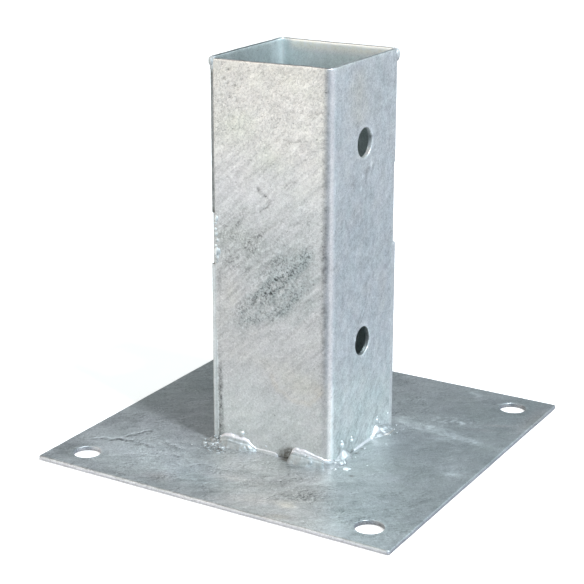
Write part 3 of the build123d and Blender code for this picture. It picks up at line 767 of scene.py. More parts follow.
def fold_painted_light(s, v):
    """The bend's outside: a dark painted reflection next to the front face, then a painted highlight next to the right
    face.
    """
    u = (s - L1) / ARC
    patchy = 0.75 + 0.4 * noise(flat3(v / 4, 0, 0), 1.0, 531) + 0.55 * noise(flat3(v / 1.3, s / 1.1, 1), 1.0, 532)
    fold_dark_reflection = np.exp(-(((u - 0.13) / 0.30) ** 2)) * np.clip(patchy, 0.1, 1.35)
    fold_dark_reflection = fold_dark_reflection * np.interp(v, [5, 30, 44, 66, 80, 108, 125, 150], [0.1, 0.35, 0.7, 0.8, 1.0, 1.0, 0.65, 0.6])
    fold_highlight = np.exp(-(((u - 0.86) / np.interp(v, [26, 44], [0.25, 0.36])) ** 2)) * (0.8 + 0.3 * noise(flat3(v / 2, 0, 9), 1.0, 533))
    fold_highlight = fold_highlight * np.interp(v, [2, 30, 44, 150], [2.8, 2.4, 0.7, 0.6])
    return -0.55 * fold_dark_reflection + 0.27 * fold_highlight


def paint_rear(s, v, skin):
    m = Paint(s, v, skin)
    m.add("tone", 0.06 * noise(flat3(s / 9, v / 30, 0), 1.0, 541) + 0.03 * noise(flat3(s / 1.4, v / 12, 4), 1.0, 542))
    m.add("warm", -0.2 + 0.25 * noise(flat3(s / 12, v / 20, 0), 1.0, 543))
    m.smears("speck", [(20, 60, 16, 8, 0.5), (34, 120, 12, 7, 0.4), (70, 90, 16, 9, 0.4), (85, 40, 10, 6, 0.4)], 50, 544, 8, 2)
    m.smears("tone", [(12, 110, 12, 3, 0.07), (30, 36, 10, 3, 0.06), (62, 30, 12, 4, 0.06), (88, 118, 10, 3, 0.06)], 50, 545, 8, 2)
    m.line("tone", [(40, 148), (39, 128), (40.5, 112)], 0.7, 0.06, 0.5, 31)
    m.line("lift", [(40, 148), (39, 128), (40.5, 112)], 0.9, 0.06, 0.5, 31)
    m.line("tone", [(66, 70), (66.5, 52), (65.5, 40)], 0.6, -0.05, 0.4, 33)
    for hz in SCREW_Z:
        d = np.hypot(s - (L1 + ARC - SCREW_Y + H - FOLD), v - hz)
        m.add("tone", 0.05 * np.exp(-(((d - 6.5) / 0.8) ** 2)))
        m.add("lift", 0.07 * np.exp(-(((d - 6.4) / 0.9) ** 2)))
    m.spots("lift", [(28, 14, 0.7, 0.7, 0, 0.3), (80, 22, 0.6, 0.6, 0, 0.3), (15, 132, 0.5, 0.5, 0, -0.15), (52, 96, 0.6, 0.6, 0, -0.15)])
    return m.v


def make_angle(name, node, turn, step, material, seed):
    edge, rim_r = 0.42, 0.22
    block = 8.4
    sc = L1 + ARC + (turn * SCREW_Y + H - FOLD)
    s_stops = [edge, L1, L1 + ARC, sc - block, sc + block, LENGTH - edge]
    v_stops = [Z0 + edge, SCREW_Z[0] - block, SCREW_Z[0] + block, SCREW_Z[1] - block, SCREW_Z[1] + block, Z1 - edge]
    holes = [(sc, z, SCREW_R + rim_r, block) for z in SCREW_Z]
    pts, quads = panel(ladder(s_stops, step), ladder(v_stops, step), holes, step * 0.8)
    svw, faces = thicken(pts, quads, T / 2, edge, rim_r)
    s, v, w = svw.T
    outside = (w / (T / 2) + 1) / 2
    flat = flat3(s, v, 0)
    outer = (
        0.08 * fbm(flat, 42, seed, 2)
        + 0.030 * noise(flat, 13, seed + 1)
        + 0.014 * noise(flat, 4, seed + 2)
        + 0.008 * noise(flat, 1.7, seed + 3)
    )
    inner = 0.06 * fbm(flat, 40, seed + 4, 2) + 0.02 * noise(flat, 7, seed + 5)
    rim = ease(v, Z1 - 5, Z1)
    lift = 0.10 * noise(flat3(s, 0, 3), 7, seed + 6) + 0.05 * noise(flat3(s, 0, 9), 2.2, seed + 7)
    if turn == 1:
        lift = lift - 0.45 * (1 - ease(s, 0, L1)) - 0.12
    else:
        lift = lift + 0.10
    v2 = v + rim * lift
    w2 = w + outer * outside - inner * (1 - outside)
    skin = ease(outside, 0.45, 0.9)
    if turn == 1:
        on_front = 1 - ease(s, L1 + 0.2, L1 + 1.2)
        on_side = ease(s, L1 + ARC - 1.2, L1 + ARC - 0.2)
        marks = paint_front_face(-H + T + s, v, on_front * skin)
        for key, more in paint_right_face(-H + FOLD + (s - L1 - ARC), v, on_side * skin).items():
            marks[key] = marks[key] + more
        # painted dark reflection and painted highlight along the outside of the bend
        marks["tone"] += fold_painted_light(s, v) * skin
        # the bend's warm, pink tint colours that painted reflection and highlight, warmer near the foot
        bent = skin * (1 - on_front) * (1 - on_side)
        marks["warm"] += (0.55 + 0.7 * (1 - ease(v, 26, 44))) * bent
        marks["pink"] += 0.8 * bent
    else:
        marks = paint_rear(s, v, skin)
    within = 1 - ease(outside, 0.1, 0.55)
    # painted shade on the tube's inner walls from about 80 to 135 mm up; lighter below 60 mm and at the rim
    marks["tone"] += within * np.interp(v, [0, 60, 80, 110, 135, 153], [0.10, 0.06, -0.08, -0.12, -0.10, 0.06])
    marks["warm"] -= within * 0.65
    # painted shade inside the lower screw hole's bore
    bore = (1 - ease(np.hypot(s - sc, v - SCREW_Z[0]), SCREW_R + 0.15, SCREW_R + 0.4)) * (1 - ease(outside, 0.86, 0.97))
    marks["tone"] -= 0.56 * bore
    top = ease(v, Z1 - 0.5, Z1 - 0.2) * ease(outside, 0.03, 0.12)
    chips = 0.8 + 0.45 * noise(flat3(s, 0, 0), 1.6, seed + 8) + 0.3 * noise(flat3(s, 0, 5), 4.5, seed + 9)
    if turn == 1:
        marks["tone"] += top * (1 - ease(outside, 0.80, 0.95)) * np.where(s < L1 + ARC * 0.6, -0.75, -0.30) * np.clip(chips, 0.3, 1.2)
    if turn == -1:
        marks["tone"] -= top * 0.78 * np.clip(chips, 0.7, 1.0)
        # painted light inside the rear angle: the first leg's inner wall lighter towards the open top, with a brighter,
        # warmer inner rim
        marks["tone"] += within * (1 - ease(s, L1 - 4, L1)) * (ease(v, 125, 148) * 0.30 + ease(v, 148.6, 151.6) * 0.35 * np.clip(chips, 0.3, 1.3))
        marks["warm"] += within * (1 - ease(s, L1 - 4, L1)) * ease(v, 147, 151) * 1.5
        # painted light on the second leg's inner wall: a bright band next to the fold, darker further along
        past = s - L1 - ARC
        marks["tone"] += within * (0.42 * np.exp(-((np.clip(past, 0, None) / 5.5) ** 2)) - 0.16 * ease(past, 14, 34)) * ease(past, -0.5, 0.5) * ease(v, 118, 140)
        marks["pink"] -= within * 0.4
        # painted highlight down the inside of the fold
        marks["tone"] += within * 0.55 * np.exp(-(((s - L1 - ARC / 2) / 1.7) ** 2)) * ease(v, 115, 140)
    w2 = w2 + marks.pop("lift")
    x, y = fold(s, w2)
    verts = np.stack([SX + turn * x, SY + turn * y, v2], 1)
    return build(
        name, verts, faces, material=material,
        nodes=(node,), data=marks,
    )


# ---- seam welds ------------------------------------------------------------
def corner_path(u, rho, leg):
    """Round the corner: u -1 is the toe on the front face, 1 on the side face.
    Gives place (a, b), distances from the sharp corner, and outward normal."""
    straight = leg - rho
    total = 2 * straight + rho * math.pi / 2
    q = (u + 1) / 2 * total
    ang = np.clip((q - straight) / rho, 0, math.pi / 2)
    on_arc = (q > straight) & (q < total - straight)
    first = q <= straight
    a = np.where(first, leg - q, np.where(on_arc, rho - rho * np.sin(ang), 0))
    b = np.where(first, 0, np.where(on_arc, rho - rho * np.cos(ang), rho + (q - (total - straight))))
    na = np.where(first, 0, np.where(on_arc, -np.sin(ang), -1))
    nb = np.where(first, -1, np.where(on_arc, -np.cos(ang), 0))
    return a, b, na, nb, q - total / 2


def sweep(rings, centre_low, centre_high):
    """Vertices and faces of a closed tube through rings, shape (rows, n, 3)."""
    rows, n, _ = rings.shape
    ids = np.arange(rows * n).reshape(rows, n)
    a, b = ids[:-1], ids[1:]
    quads = np.stack([a, np.roll(a, -1, 1), np.roll(b, -1, 1), b], -1).reshape(-1, 4)
    low, high = rows * n, rows * n + 1
    first, last = ids[0], ids[-1]
    tris = np.concatenate([
        np.stack([np.roll(first, -1), first, np.full(n, low)], 1),
        np.stack([last, np.roll(last, -1), np.full(n, high)], 1),
    ])
    verts = np.concatenate([rings.reshape(-1, 3), [centre_low, centre_high]])
    return verts, quads, tris


def make_seam(name, sign, low, high, rho, leg, crown, sink, rough, ripple, seed,
              lumps=(), step=0.36, top=False, marks=None):
    """One run of a seam bead. Values may be numbers or functions of height."""
    rows = max(3, int(round((high - low) / step)) + 1)
    z = np.linspace(low, high, rows)
    k = 20
    u = np.linspace(-1, 1, k + 1)
    zz, uu = np.meshgrid(z, u, indexing="ij")
    val = lambda f: (f(zz) if callable(f) else np.full(zz.shape, float(f)))
    rho_, leg_, crown_, sink_, rough_ = map(val, (rho, leg, crown, sink, rough))
    key = lambda c, s, seed2: noise(flat3(zz.ravel(), uu.ravel() * 2.2, c), s, seed2).reshape(zz.shape)
    leg_ = leg_ + 0.12 * noise(flat3(zz.ravel(), np.sign(uu.ravel()) * 5, 1), 2.6, seed).reshape(zz.shape)
    out = [np.zeros(zz.shape) for _ in range(5)]
    for i in range(rows):
        got = corner_path(u, float(rho_[i, 0]), float(leg_[i].mean()))
        for o, g in zip(out, got):
            o[i] = g
    a, b, na, nb, q = out
    h = crown_ * (1 - uu**2) - sink_ * uu**8
    h += rough_ * (0.6 * key(2, 2.6, seed + 1) + 0.4 * key(3, 1.1, seed + 2)) * (1 - uu**6)
    h += ripple * np.sin(2 * math.pi * (zz + 0.9 * uu**2) / 1.5 + 2.5 * key(4, 6, seed + 3)) * (1 - uu**4)
    for side, lz, lq, r, height in lumps:
        qq = q * 1.0
        d2 = (zz - lz) ** 2 + (qq - lq) ** 2
        h += height * np.sqrt(np.clip(1 - d2 / r**2, 0, None))
    if top:
        d = np.clip(0.45 - (high - zz), 0, 0.45)
        h -= 0.45 - np.sqrt(np.clip(0.45**2 - d**2, 0, None))
    a, b = a + na * h, b + nb * h
    inner = np.array([(0.75, 2.1), (1.2, 2.45), (1.62, 2.35), (1.78, 2.0), (2.0, 1.78), (2.35, 1.62), (2.45, 1.2), (2.1, 0.75)])
    ia = np.tile(inner[:, 0], (rows, 1))
    ib = np.tile(inner[:, 1], (rows, 1))
    A, B = np.concatenate([a, ia], 1), np.concatenate([b, ib], 1)
    Z = np.concatenate([zz, np.tile(z[:, None], (1, len(inner)))], 1)
    x, y = -H + A, -H + B
    rings = np.stack([SX + sign * x, SY + sign * y, Z], -1)
    c = np.array([SX + sign * (-H + 1.1), SY + sign * (-H + 1.1), 0])
    verts, quads, tris = sweep(rings, c + (0, 0, low), c + (0, 0, high))
    data = {}
    if marks is not None:
        # along the corner, and across it from the front face (-) to the side face (+)
        across = np.concatenate([q, np.tile(q[:, -1:], (1, len(inner)))], 1)
        data = marks(np.concatenate([Z.ravel(), [low, high]]), np.concatenate([across.ravel(), [0, 0]]))
    return build(name, verts, quads, tris, WELD_ZINC, (name,), data)


def seam_marks(z, q):
    """The left seam: painted shade along the upper run, whose groove lies in shade, a darker middle run with bright
    drops, and a painted highlight along the lower run's rounded corner, with a darker line in it and a darker edge next
    to the front face.
    """
    rag = noise(flat3(z / 2.2, q, 0), 1.0, 561) * 0.5 + noise(flat3(z / 0.8, q / 0.8, 3), 1.0, 562) * 0.4
    upper = ease(z, 91, 96)
    lower = 1 - ease(z, 72, 75)
    # painted shade down the upper run's groove
    tone = upper * (-0.40 - 0.12 * rag) * (1 - ease(z, 146, 149.5))
    middle = (1 - upper) * (1 - lower)
    tone = tone + middle * (-0.22 - 0.35 * rag)
    line = np.exp(-(((q + 1.75 + 0.15 * rag) / 0.38) ** 2))
    # painted highlight along the lower run's rounded corner, with a darker line in it
    tone = tone + lower * (0.30 - 0.30 * line * (0.8 + 0.5 * rag) + 0.06 * rag - 0.16 * (1 - ease(z, 14, 40)))
    tone = tone + lower * 0.10 * np.exp(-(((q + 2.45) / 0.4) ** 2))
    tone = tone - lower * 0.45 * ease(-q, 2.75, 3.05) * (0.6 + 0.4 * ease(z, 50, 62)) * np.clip(1 + 0.6 * rag, 0, 1.5)
    tone = tone + 0.12 * ease(z, 147, 149)
    stain = np.clip(0.55 * spot(z, q, 94.5, -1.2, 1.1, 1.0) + 0.5 * spot(z, q, 146.2, -0.6, 0.7, 0.8) + 0.45 * spot(z, q, 92.6, -1.6, 0.45, 0.4), 0, 1)
    for cz, cq, rz, rq, k in ((91.6, -1.6, 1.3, 1.0, 0.8), (88.6, -1.2, 0.8, 0.7, 0.5), (86.2, -1.4, 1.0, 0.8, 0.6), (83.1, -1.6, 0.9, 0.8, 0.6), (78.8, -1.7, 2.0, 1.2, 0.9), (75.0, -1.4, 1.2, 0.8, 0.2)):
        tone = tone + k * spot(z, q, cz, cq, rz, rq)
    return {"tone": tone, "stain": stain, "warm": np.full(len(z), -0.3), "coarse": np.full(len(z), 0.2)}


def make_seams():
    for side, sign, middle in (("left", 1, (73.5, 94.0)), ("right", -1, (77.0, 109.5))):
        seed = 500 if side == "left" else 600
        marks = seam_marks if side == "left" else None
        full = 0.02 if side == "left" else 0.30
        step = 0.36 if side == "left" else 0.5
        lap = 0.15
        make_seam(f"{side}_seam_tack", sign, 148.0, Z1, 1.4, 2.4, 0.05, 0.12, 0.10, 0.0, seed,
                  lumps=((0, Z1 - 1.7, 0.0, 1.6, 0.50),) if side == "left" else ((0, Z1 - 2.4, 0.0, 2.2, 0.78),), step=0.2, top=True, marks=marks)
        make_seam(f"{side}_seam_weld_upper", sign, middle[1] - lap, 148.0 + lap, 1.43, 2.3, -0.14, 0.12, 0.05, 0.01, seed + 10, step=step, marks=marks)
        lumps = ()
        if side == "left":
            lumps = ((0, 91.6, -1.6, 1.3, 0.75), (0, 88.6, -1.2, 0.8, 0.4), (0, 86.4, -1.4, 0.9, 0.45), (0, 83.1, -1.6, 0.9, 0.5), (0, 78.8, -1.7, 2.1, 1.0), (0, 75.2, -1.6, 1.6, 0.4))
        make_seam(f"{side}_seam_weld_middle", sign, middle[0] - lap, middle[1], 2.6, 3.1, -0.68, 0.2, 0.30, 0.03, seed + 20, lumps=lumps, step=step, marks=marks)
        make_seam(f"{side}_seam_weld_lower", sign, Z0 - 0.3, middle[0] + lap, 1.1, 3.3, full, 0.2, 0.05, 0.02, seed + 30, step=step, marks=marks)


# ---- foot welds ------------------------------------------------------------
FRONT_S = H - T                         # adds to a socket x to give s on the front angle
SIDE_S = H - FOLD + L1 + ARC            # adds to a socket y to give s on its side face


def table(p, pairs):
    xs, ys = zip(*pairs)
    return np.interp(p, xs, ys)


def foot_run(name, turn, offset, heights, legs, seed, ridges=(), bow=(0.5, 0.5), ripple=0.02,
             rough=0.07, lumps=(), nodes=None, step=0.2, marks=None):
    """A run of weld or zinc in the corner between a socket face and the plate.

    heights and legs are tables over the place along the face. Each ridge is
    (place on the section 0..1, width, [(along, amount), ...]). Each lump is
    (along, place on the section, radius, height)."""
    low, high = heights[0][0], heights[-1][0]
    n = max(20, int((high - low) / step))
    k = (1 - np.cos(np.linspace(0, math.pi, n))) / 2
    k = 0.35 * k + 0.65 * np.linspace(0, 1, n)
    p = low + (high - low) * k
    far = np.minimum(p - low, high - p)
    end = np.sqrt(np.clip(1 - (1 - np.clip(far / 1.4, 0, 1)) ** 2, 0, 1)) * 0.93 + 0.07
    wander = noise(flat3(p, 0, 1), 2.6, seed + 3)
    hh = (table(p, heights) * (1 + 0.07 * wander) * end)[:, None]
    ll = (table(p, legs) * (1 + 0.09 * noise(flat3(p, 0, 4), 2.2, seed + 4)) * end)[:, None]
    m = 26
    v = np.linspace(0, 1, m + 1)
    pp, vv = np.meshgrid(p, v, indexing="ij")
    b0, b1, b2 = (1 - vv) ** 2, 2 * vv * (1 - vv), vv**2
    o = b0 * -0.12 + b1 * (bow[0] * ll) + b2 * ll
    z = b0 * hh + b1 * (bow[1] * hh) + b2 * -0.15
    dv = np.gradient(o, axis=1), np.gradient(z, axis=1)
    size = np.hypot(*dv) + 1e-9
    no, nz = -dv[1] / size, dv[0] / size
    flat = flat3(pp.ravel(), vv.ravel() * 5, 0)
    bump = rough * (0.6 * noise(flat, 2.2, seed) + 0.5 * noise(flat, 0.9, seed + 1)).reshape(pp.shape)
    wave = noise(flat3(pp.ravel(), 0, 4), 5, seed + 2).reshape(pp.shape)
    bump += ripple * np.sin(2 * math.pi * (pp + 5 * (vv - 0.5) ** 2) / 1.6 + 2.5 * wave)
    bump *= np.sin(math.pi * vv) ** 0.7
    for place, width, amounts in ridges:
        centre = place + 0.03 * noise(flat3(p, 0, 7), 3, seed + 5)[:, None]
        bump += table(p, amounts)[:, None] * np.exp(-(((vv - centre) / width) ** 2)) * end[:, None]
    for along, place, radius, height in lumps:
        d2 = (pp - along) ** 2 + ((vv - place) * (hh + ll) * 0.8) ** 2
        bump += height * np.sqrt(np.clip(1 - d2 / radius**2, 0, None))
    o, z = o + no * bump, z + nz * bump
    o, z = np.maximum(o, -0.12), np.maximum(z, -0.15)
    inner_o = np.tile(np.array([-0.5, -0.45]), (n, 1))
    inner_z = np.stack([np.full(n, -0.2), hh[:, 0] * 0.6], 1)
    O, Z = np.concatenate([o, inner_o], 1), np.concatenate([z, inner_z], 1)
    P = np.concatenate([pp, np.tile(p[:, None], (1, 2))], 1)
    x, y = fold(P + offset, T / 2 + O)
    rings = np.stack([SX + turn * x, SY + turn * y, Z0 + Z], -1)
    ends = []
    for q in (0, -1):
        x, y = fold(np.array([p[q] + offset]), np.array([T / 2 - 0.3]))
        ends.append((SX + turn * x[0], SY + turn * y[0], Z0))
    verts, quads, tris = sweep(rings, *ends)
    flatp = np.concatenate([P.ravel(), [p[0], p[-1]]])
    flatv = np.concatenate([np.concatenate([vv, np.zeros((n, 2))], 1).ravel(), [0, 0]])
    fleck = 0.10 * noise(flat3(flatp, flatv * 5, 6), 1.3, seed + 6) + 0.06 * noise(flat3(flatp, flatv * 5, 9), 0.7, seed + 7)
    # painted highlights along the ridges near the top of the bead and near the middle of its section, tinted pink; the
    # rest darker and bluer
    data = {"tone": np.interp(flatv, [0, 0.20, 0.29, 0.37, 0.44, 0.52, 1], [0.30, 0.42, -0.22, -0.24, 0.10, -0.24, -0.30]) + fleck,
            "warm": np.interp(flatv, [0, 0.2, 0.3, 1], [0.0, 0.0, -0.7, -0.7]),
            "pink": np.interp(flatv, [0, 0.2, 0.3, 1], [0.7, 0.7, 0.15, 0.15])}
    data.update((marks or (lambda *_: {}))(flatp, flatv))
    return build(name, verts, quads, tris, WELD_ZINC, (name,) if nodes is None else nodes, data)


def dome(centre, r, squash, axis, seed, n=12, rough=0.12):
    """A closed lump: a ball, pressed flat along axis and a little uneven."""
    lat = np.linspace(0, math.pi, n + 1)[1:-1]
    lon = np.linspace(0, 2 * math.pi, 2 * n, endpoint=False)
    la, lo = np.meshgrid(lat, lon, indexing="ij")
    d = np.stack([np.sin(la) * np.cos(lo), np.sin(la) * np.sin(lo), np.cos(la)], -1)
    pts = np.concatenate([d.reshape(-1, 3), [(0, 0, 1), (0, 0, -1)]])
    scale = 1 + rough * noise(pts * 1.0 + seed * 3.1, 0.9, 900)
    pts = pts * scale[:, None]
    pts[:, 2] *= squash
    z = np.array(axis, float)
    z /= np.linalg.norm(z)
    x = np.cross((0.3, 0.9, 0.2), z)
    x /= np.linalg.norm(x)
    y = np.cross(z, x)
    verts = pts[:, :1] * x * r + pts[:, 1:2] * y * r + pts[:, 2:] * z * r + np.asarray(centre, float)
    rows = len(lat)
    ids = np.arange(rows * len(lon)).reshape(rows, len(lon))
    a, b = ids[:-1], ids[1:]
    quads = np.stack([a, b, np.roll(b, -1, 1), np.roll(a, -1, 1)], -1).reshape(-1, 4)
    top, bottom = rows * len(lon), rows * len(lon) + 1
    tris = np.concatenate([
        np.stack([ids[0], np.roll(ids[0], -1), np.full(len(lon), top)], 1),
        np.stack([np.roll(ids[-1], -1), ids[-1], np.full(len(lon), bottom)], 1),
    ])
    return verts, quads, tris


def curl(cx, cy, radius, start, turn, r, lift=0.35):
    """A thin curled thread of zinc lying on the plate."""
    n = max(8, int(abs(math.radians(turn)) * radius / 0.22))
    k = np.linspace(0, 1, n)
    a = np.radians(start + turn * k)
    wide = radius * (1 + 0.12 * np.sin(7 * k + start))
    path = np.stack([cx + wide * np.cos(a), cy + wide * np.sin(a), np.full(n, lift * r)], 1)
    thick = r * (0.25 + 0.75 * np.sin(math.pi * np.clip(k, 0.02, 0.98)) ** 0.5) * (1 + 0.15 * np.sin(11 * k + start))
    side = np.gradient(path, axis=0)
    side /= np.linalg.norm(side, axis=1)[:, None]
    across = np.cross(side, (0, 0, 1.0))
    t = np.linspace(0, 2 * math.pi, 10, endpoint=False)
    rings = path[:, None] + thick[:, None, None] * (
        np.cos(t)[None, :, None] * across[:, None] + np.sin(t)[None, :, None] * np.array([0, 0, 0.85])
    )
    return rings, path[0] - side[0] * thick[0] * 0.5, path[-1] + side[-1] * thick[-1] * 0.5


def lumps_piece(name, lumps, curls=(), nodes=(), stain=(), tint=0.0):
    """Several lumps in one mesh. Each: (x, y, z from the plate's top, r, squash, axis)."""
    V, Q, R, total = [], [], [], 0
    for i, (x, y, z, r, squash, axis) in enumerate(lumps):
        v, q, t = dome((SX + x, SY + y, Z0 + z), r, squash, axis, i + len(name), n=12 if r > 0.9 else 7)
        v[:, 2] = np.where(v[:, 2] < Z0 - 0.2, Z0 - 0.2 - 0.05 * np.tanh(Z0 - 0.2 - v[:, 2]), v[:, 2])
        V.append(v)
        Q.append(q + total)
        R.append(t + total)
        total += len(v)
    for row in curls:
        rings, first, last = curl(*row)
        v, q, t = sweep(rings + (SX, SY, Z0), first + (SX, SY, Z0), last + (SX, SY, Z0))
        V.append(v)
        Q.append(q + total)
        R.append(t + total)
        total += len(v)
    V = np.concatenate(V)
    brown = np.zeros(len(V))
    for x, y, z, r, amount in stain:
        d2 = ((V - (SX + x, SY + y, Z0 + z)) ** 2).sum(1)
        brown += amount * np.exp(-d2 / r**2)
    tone = -0.34 + 0.40 * noise(V, 2.0, 571) + tint
    return build(name, V, np.concatenate(Q), np.concatenate(R), WELD_ZINC, nodes,
                 {"stain": brown, "tone": tone, "warm": np.full(len(V), -0.35), "pink": np.full(len(V), -0.25)})


def make_feet():
    up = (0, 0, 1)
    foot_run("front_foot_weld_left", 1, FRONT_S,
             [(-23.0, 1.6), (-21.9, 3.2), (-19.8, 4.5), (-17, 4.7), (-13.4, 4.5), (-11.6, 4.4), (-9.6, 4.0), (-8.4, 2.6), (-7.2, 1.8), (-5.6, 1.5)],
             [(-23.0, 2.0), (-18, 3.6), (-12, 3.3), (-8, 2.2), (-5.6, 1.0)], 701,
             ridges=[(0.14, 0.10, [(-22, 0.2), (-19, 0.50), (-12, 0.46), (-9.6, 0.30), (-7, 0.12)]),
                     (0.46, 0.06, [(-19.6, 0.0), (-18.2, 0.46), (-13, 0.38), (-11.6, 0.0)]),
                     (0.33, 0.05, [(-19, 0.0), (-17, -0.16), (-11, -0.10), (-9, 0.0)])],
             bow=(0.50, 0.42), lumps=[(-8.6, 0.55, 0.9, 0.35), (-10.6, 0.72, 0.8, 0.25), (-20.6, 0.7, 0.8, 0.25)])
    foot_run("front_foot_weld_right", 1, FRONT_S,
             [(8.2, 0.5), (9.3, 2.3), (10.3, 4.7), (11.6, 5.4), (14.7, 5.4), (18.1, 4.8), (21.1, 4.2), (24.0, 3.7)],
             [(8.2, 2.6), (10, 3.4), (15, 3.5), (18, 2.8), (20.5, 1.9), (24.0, 1.0)], 711,
             ridges=[(0.10, 0.06, [(10, 0.25), (11.5, 0.46), (18, 0.40), (22.5, 0.36), (24, 0.1)]),
                     (0.36, 0.05, [(9, 0.3), (11, 0.42), (17.6, 0.36), (19, 0.0)]),
                     (0.23, 0.05, [(10, 0.0), (12, -0.20), (17, -0.14), (20, 0.0)])],
             bow=(0.50, 0.42), lumps=[(18.6, 0.62, 0.8, 0.25)])
    foot_run("right_foot_weld_near", 1, SIDE_S,
             [(-21.6, 1.6), (-19.6, 1.9), (-17.6, 2.5), (-16, 3.2), (-14.2, 3.6), (-12.2, 2.5), (-10.6, 1.6), (-9.0, 0.8)],
             [(-21.6, 2.4), (-19, 3.4), (-17, 3.0), (-14, 2.5), (-11, 2.2), (-9.0, 1.2)], 721,
             ridges=[(0.66, 0.06, [(-20, 0.2), (-17, 0.34), (-13, 0.24), (-11, 0.0)])],
             bow=(0.42, 0.40), rough=0.09,
             lumps=[(-14.6, 0.36, 1.6, 0.35), (-19.8, 0.70, 1.3, 0.60), (-17.6, 0.84, 1.0, 0.40), (-12.2, 0.8, 0.9, 0.30)],
             # painted highlights on the biggest lumps
             marks=lambda p, v: {"tone": -0.30 + 0.22 * noise(flat3(p, v * 5, 3), 1.4, 727) + 0.85 * spot(p, v, -14.8, 0.46, 2.6, 0.30) + 0.20 * spot(p, v, -19.6, 0.8, 1.4, 0.16),
                                 "warm": -0.35 + 0.3 * spot(p, v, -14.6, 0.30, 2.3, 0.26), "pink": 0.1 + 0.5 * spot(p, v, -14.6, 0.30, 2.3, 0.26)})
    foot_run("right_foot_weld_far", 1, SIDE_S,
             [(6.6, 0.7), (8.6, 2.0), (10.4, 3.8), (12.0, 4.6), (13.9, 3.2), (16, 2.6), (19, 2.0), (23.0, 1.3)],
             [(6.6, 1.0), (9, 2.0), (12, 3.2), (15, 4.6), (19, 4.8), (23.0, 3.2)], 731,
             ridges=[(0.86, 0.05, [(12, 0.0), (14, 0.26), (20, 0.22), (22, 0.0)]), (0.5, 0.08, [(12.5, 0.0), (15, -0.22), (20, -0.2)])],
             bow=(0.36, 0.30), rough=0.09,
             lumps=[(11.4, 0.36, 1.8, 0.65), (9.2, 0.50, 0.9, 0.35), (15.2, 0.46, 1.5, 0.35), (18.4, 0.36, 1.2, 0.25), (20.6, 0.6, 1.2, 0.25)],
             # painted highlights on the biggest lumps
             marks=lambda p, v: {"warm": -0.35 + 1.8 * ease(v, 0.78, 0.92) * ease(p, 12, 14) * (1 - ease(p, 19, 21)) + 0.9 * spot(p, v, 11.2, 0.3, 2.4, 0.3),
                                 "pink": 0.5 * spot(p, v, 11.2, 0.3, 2.4, 0.3),
                                 "tone": -0.26 + 0.16 * noise(flat3(p, v * 5, 3), 1.2, 737) + 0.80 * spot(p, v, 11.2, 0.30, 2.2, 0.28) + 0.50 * spot(p, v, 16.0, 0.40, 2.6, 0.13)})
    foot_run("front_corner_foot_weld", 1, 0.0,
             [(45.6, 3.8), (47.0, 3.5), (48.6, 3.2), (50.4, 2.6), (52.8, 1.7)],
             [(45.6, 0.9), (48.0, 0.9), (49.8, 1.6), (51.4, 2.6), (52.8, 2.3)], 781,
             ridges=[(0.16, 0.12, [(45, 0.30), (49, 0.26), (50.5, 0.0)])], bow=(0.50, 0.50), rough=0.07,
             lumps=[(51.3, 0.55, 1.1, 0.5)],
             # painted highlight along the top of the bead, darker below
             marks=lambda p, v: {"tone": np.where(p < 50.4, 0.22 - 0.52 * ease(v, 0.30, 0.46), -0.30) + 0.12 * noise(flat3(p, v * 5, 3), 1.2, 787),
                                 "warm": -0.1 + 0 * v, "pink": 0.4 * (1 - ease(v, 0.3, 0.5))})
    plain_h, plain_l = 3.2, 3.1
    for name, offset, a, b, seed, k in (("rear_foot_weld_left", FRONT_S, 7.5, 21.5, 741, -1), ("rear_foot_weld_right", FRONT_S, -22.0, -8.0, 751, -1),
                                        ("left_foot_weld_near", SIDE_S, 7.5, 22.0, 761, -1), ("left_foot_weld_far", SIDE_S, -21.0, -7.5, 771, -1)):
        w = b - a
        foot_run(name, -1, offset,
                 [(a, 1.4), (a + 0.2 * w, plain_h * 1.1), (a + 0.6 * w, plain_h * 1.2), (a + 0.85 * w, plain_h), (b, 1.4)],
                 [(a, 1.6), (a + 0.3 * w, plain_l * 1.1), (a + 0.8 * w, plain_l), (b, 1.6)], seed,
                 ridges=[(0.12, 0.07, [(a, 0.2), (a + w / 2, 0.4), (b, 0.2)]), (0.42, 0.06, [(a + 0.2 * w, 0.0), (a + 0.4 * w, 0.32), (a + 0.7 * w, 0.28), (a + 0.8 * w, 0.0)])],
                 bow=(0.5, 0.44), ripple=0.035, lumps=[(a + 0.3 * w, 0.6, 0.8, 0.25), (a + 0.75 * w, 0.5, 0.7, 0.25)], step=0.26)
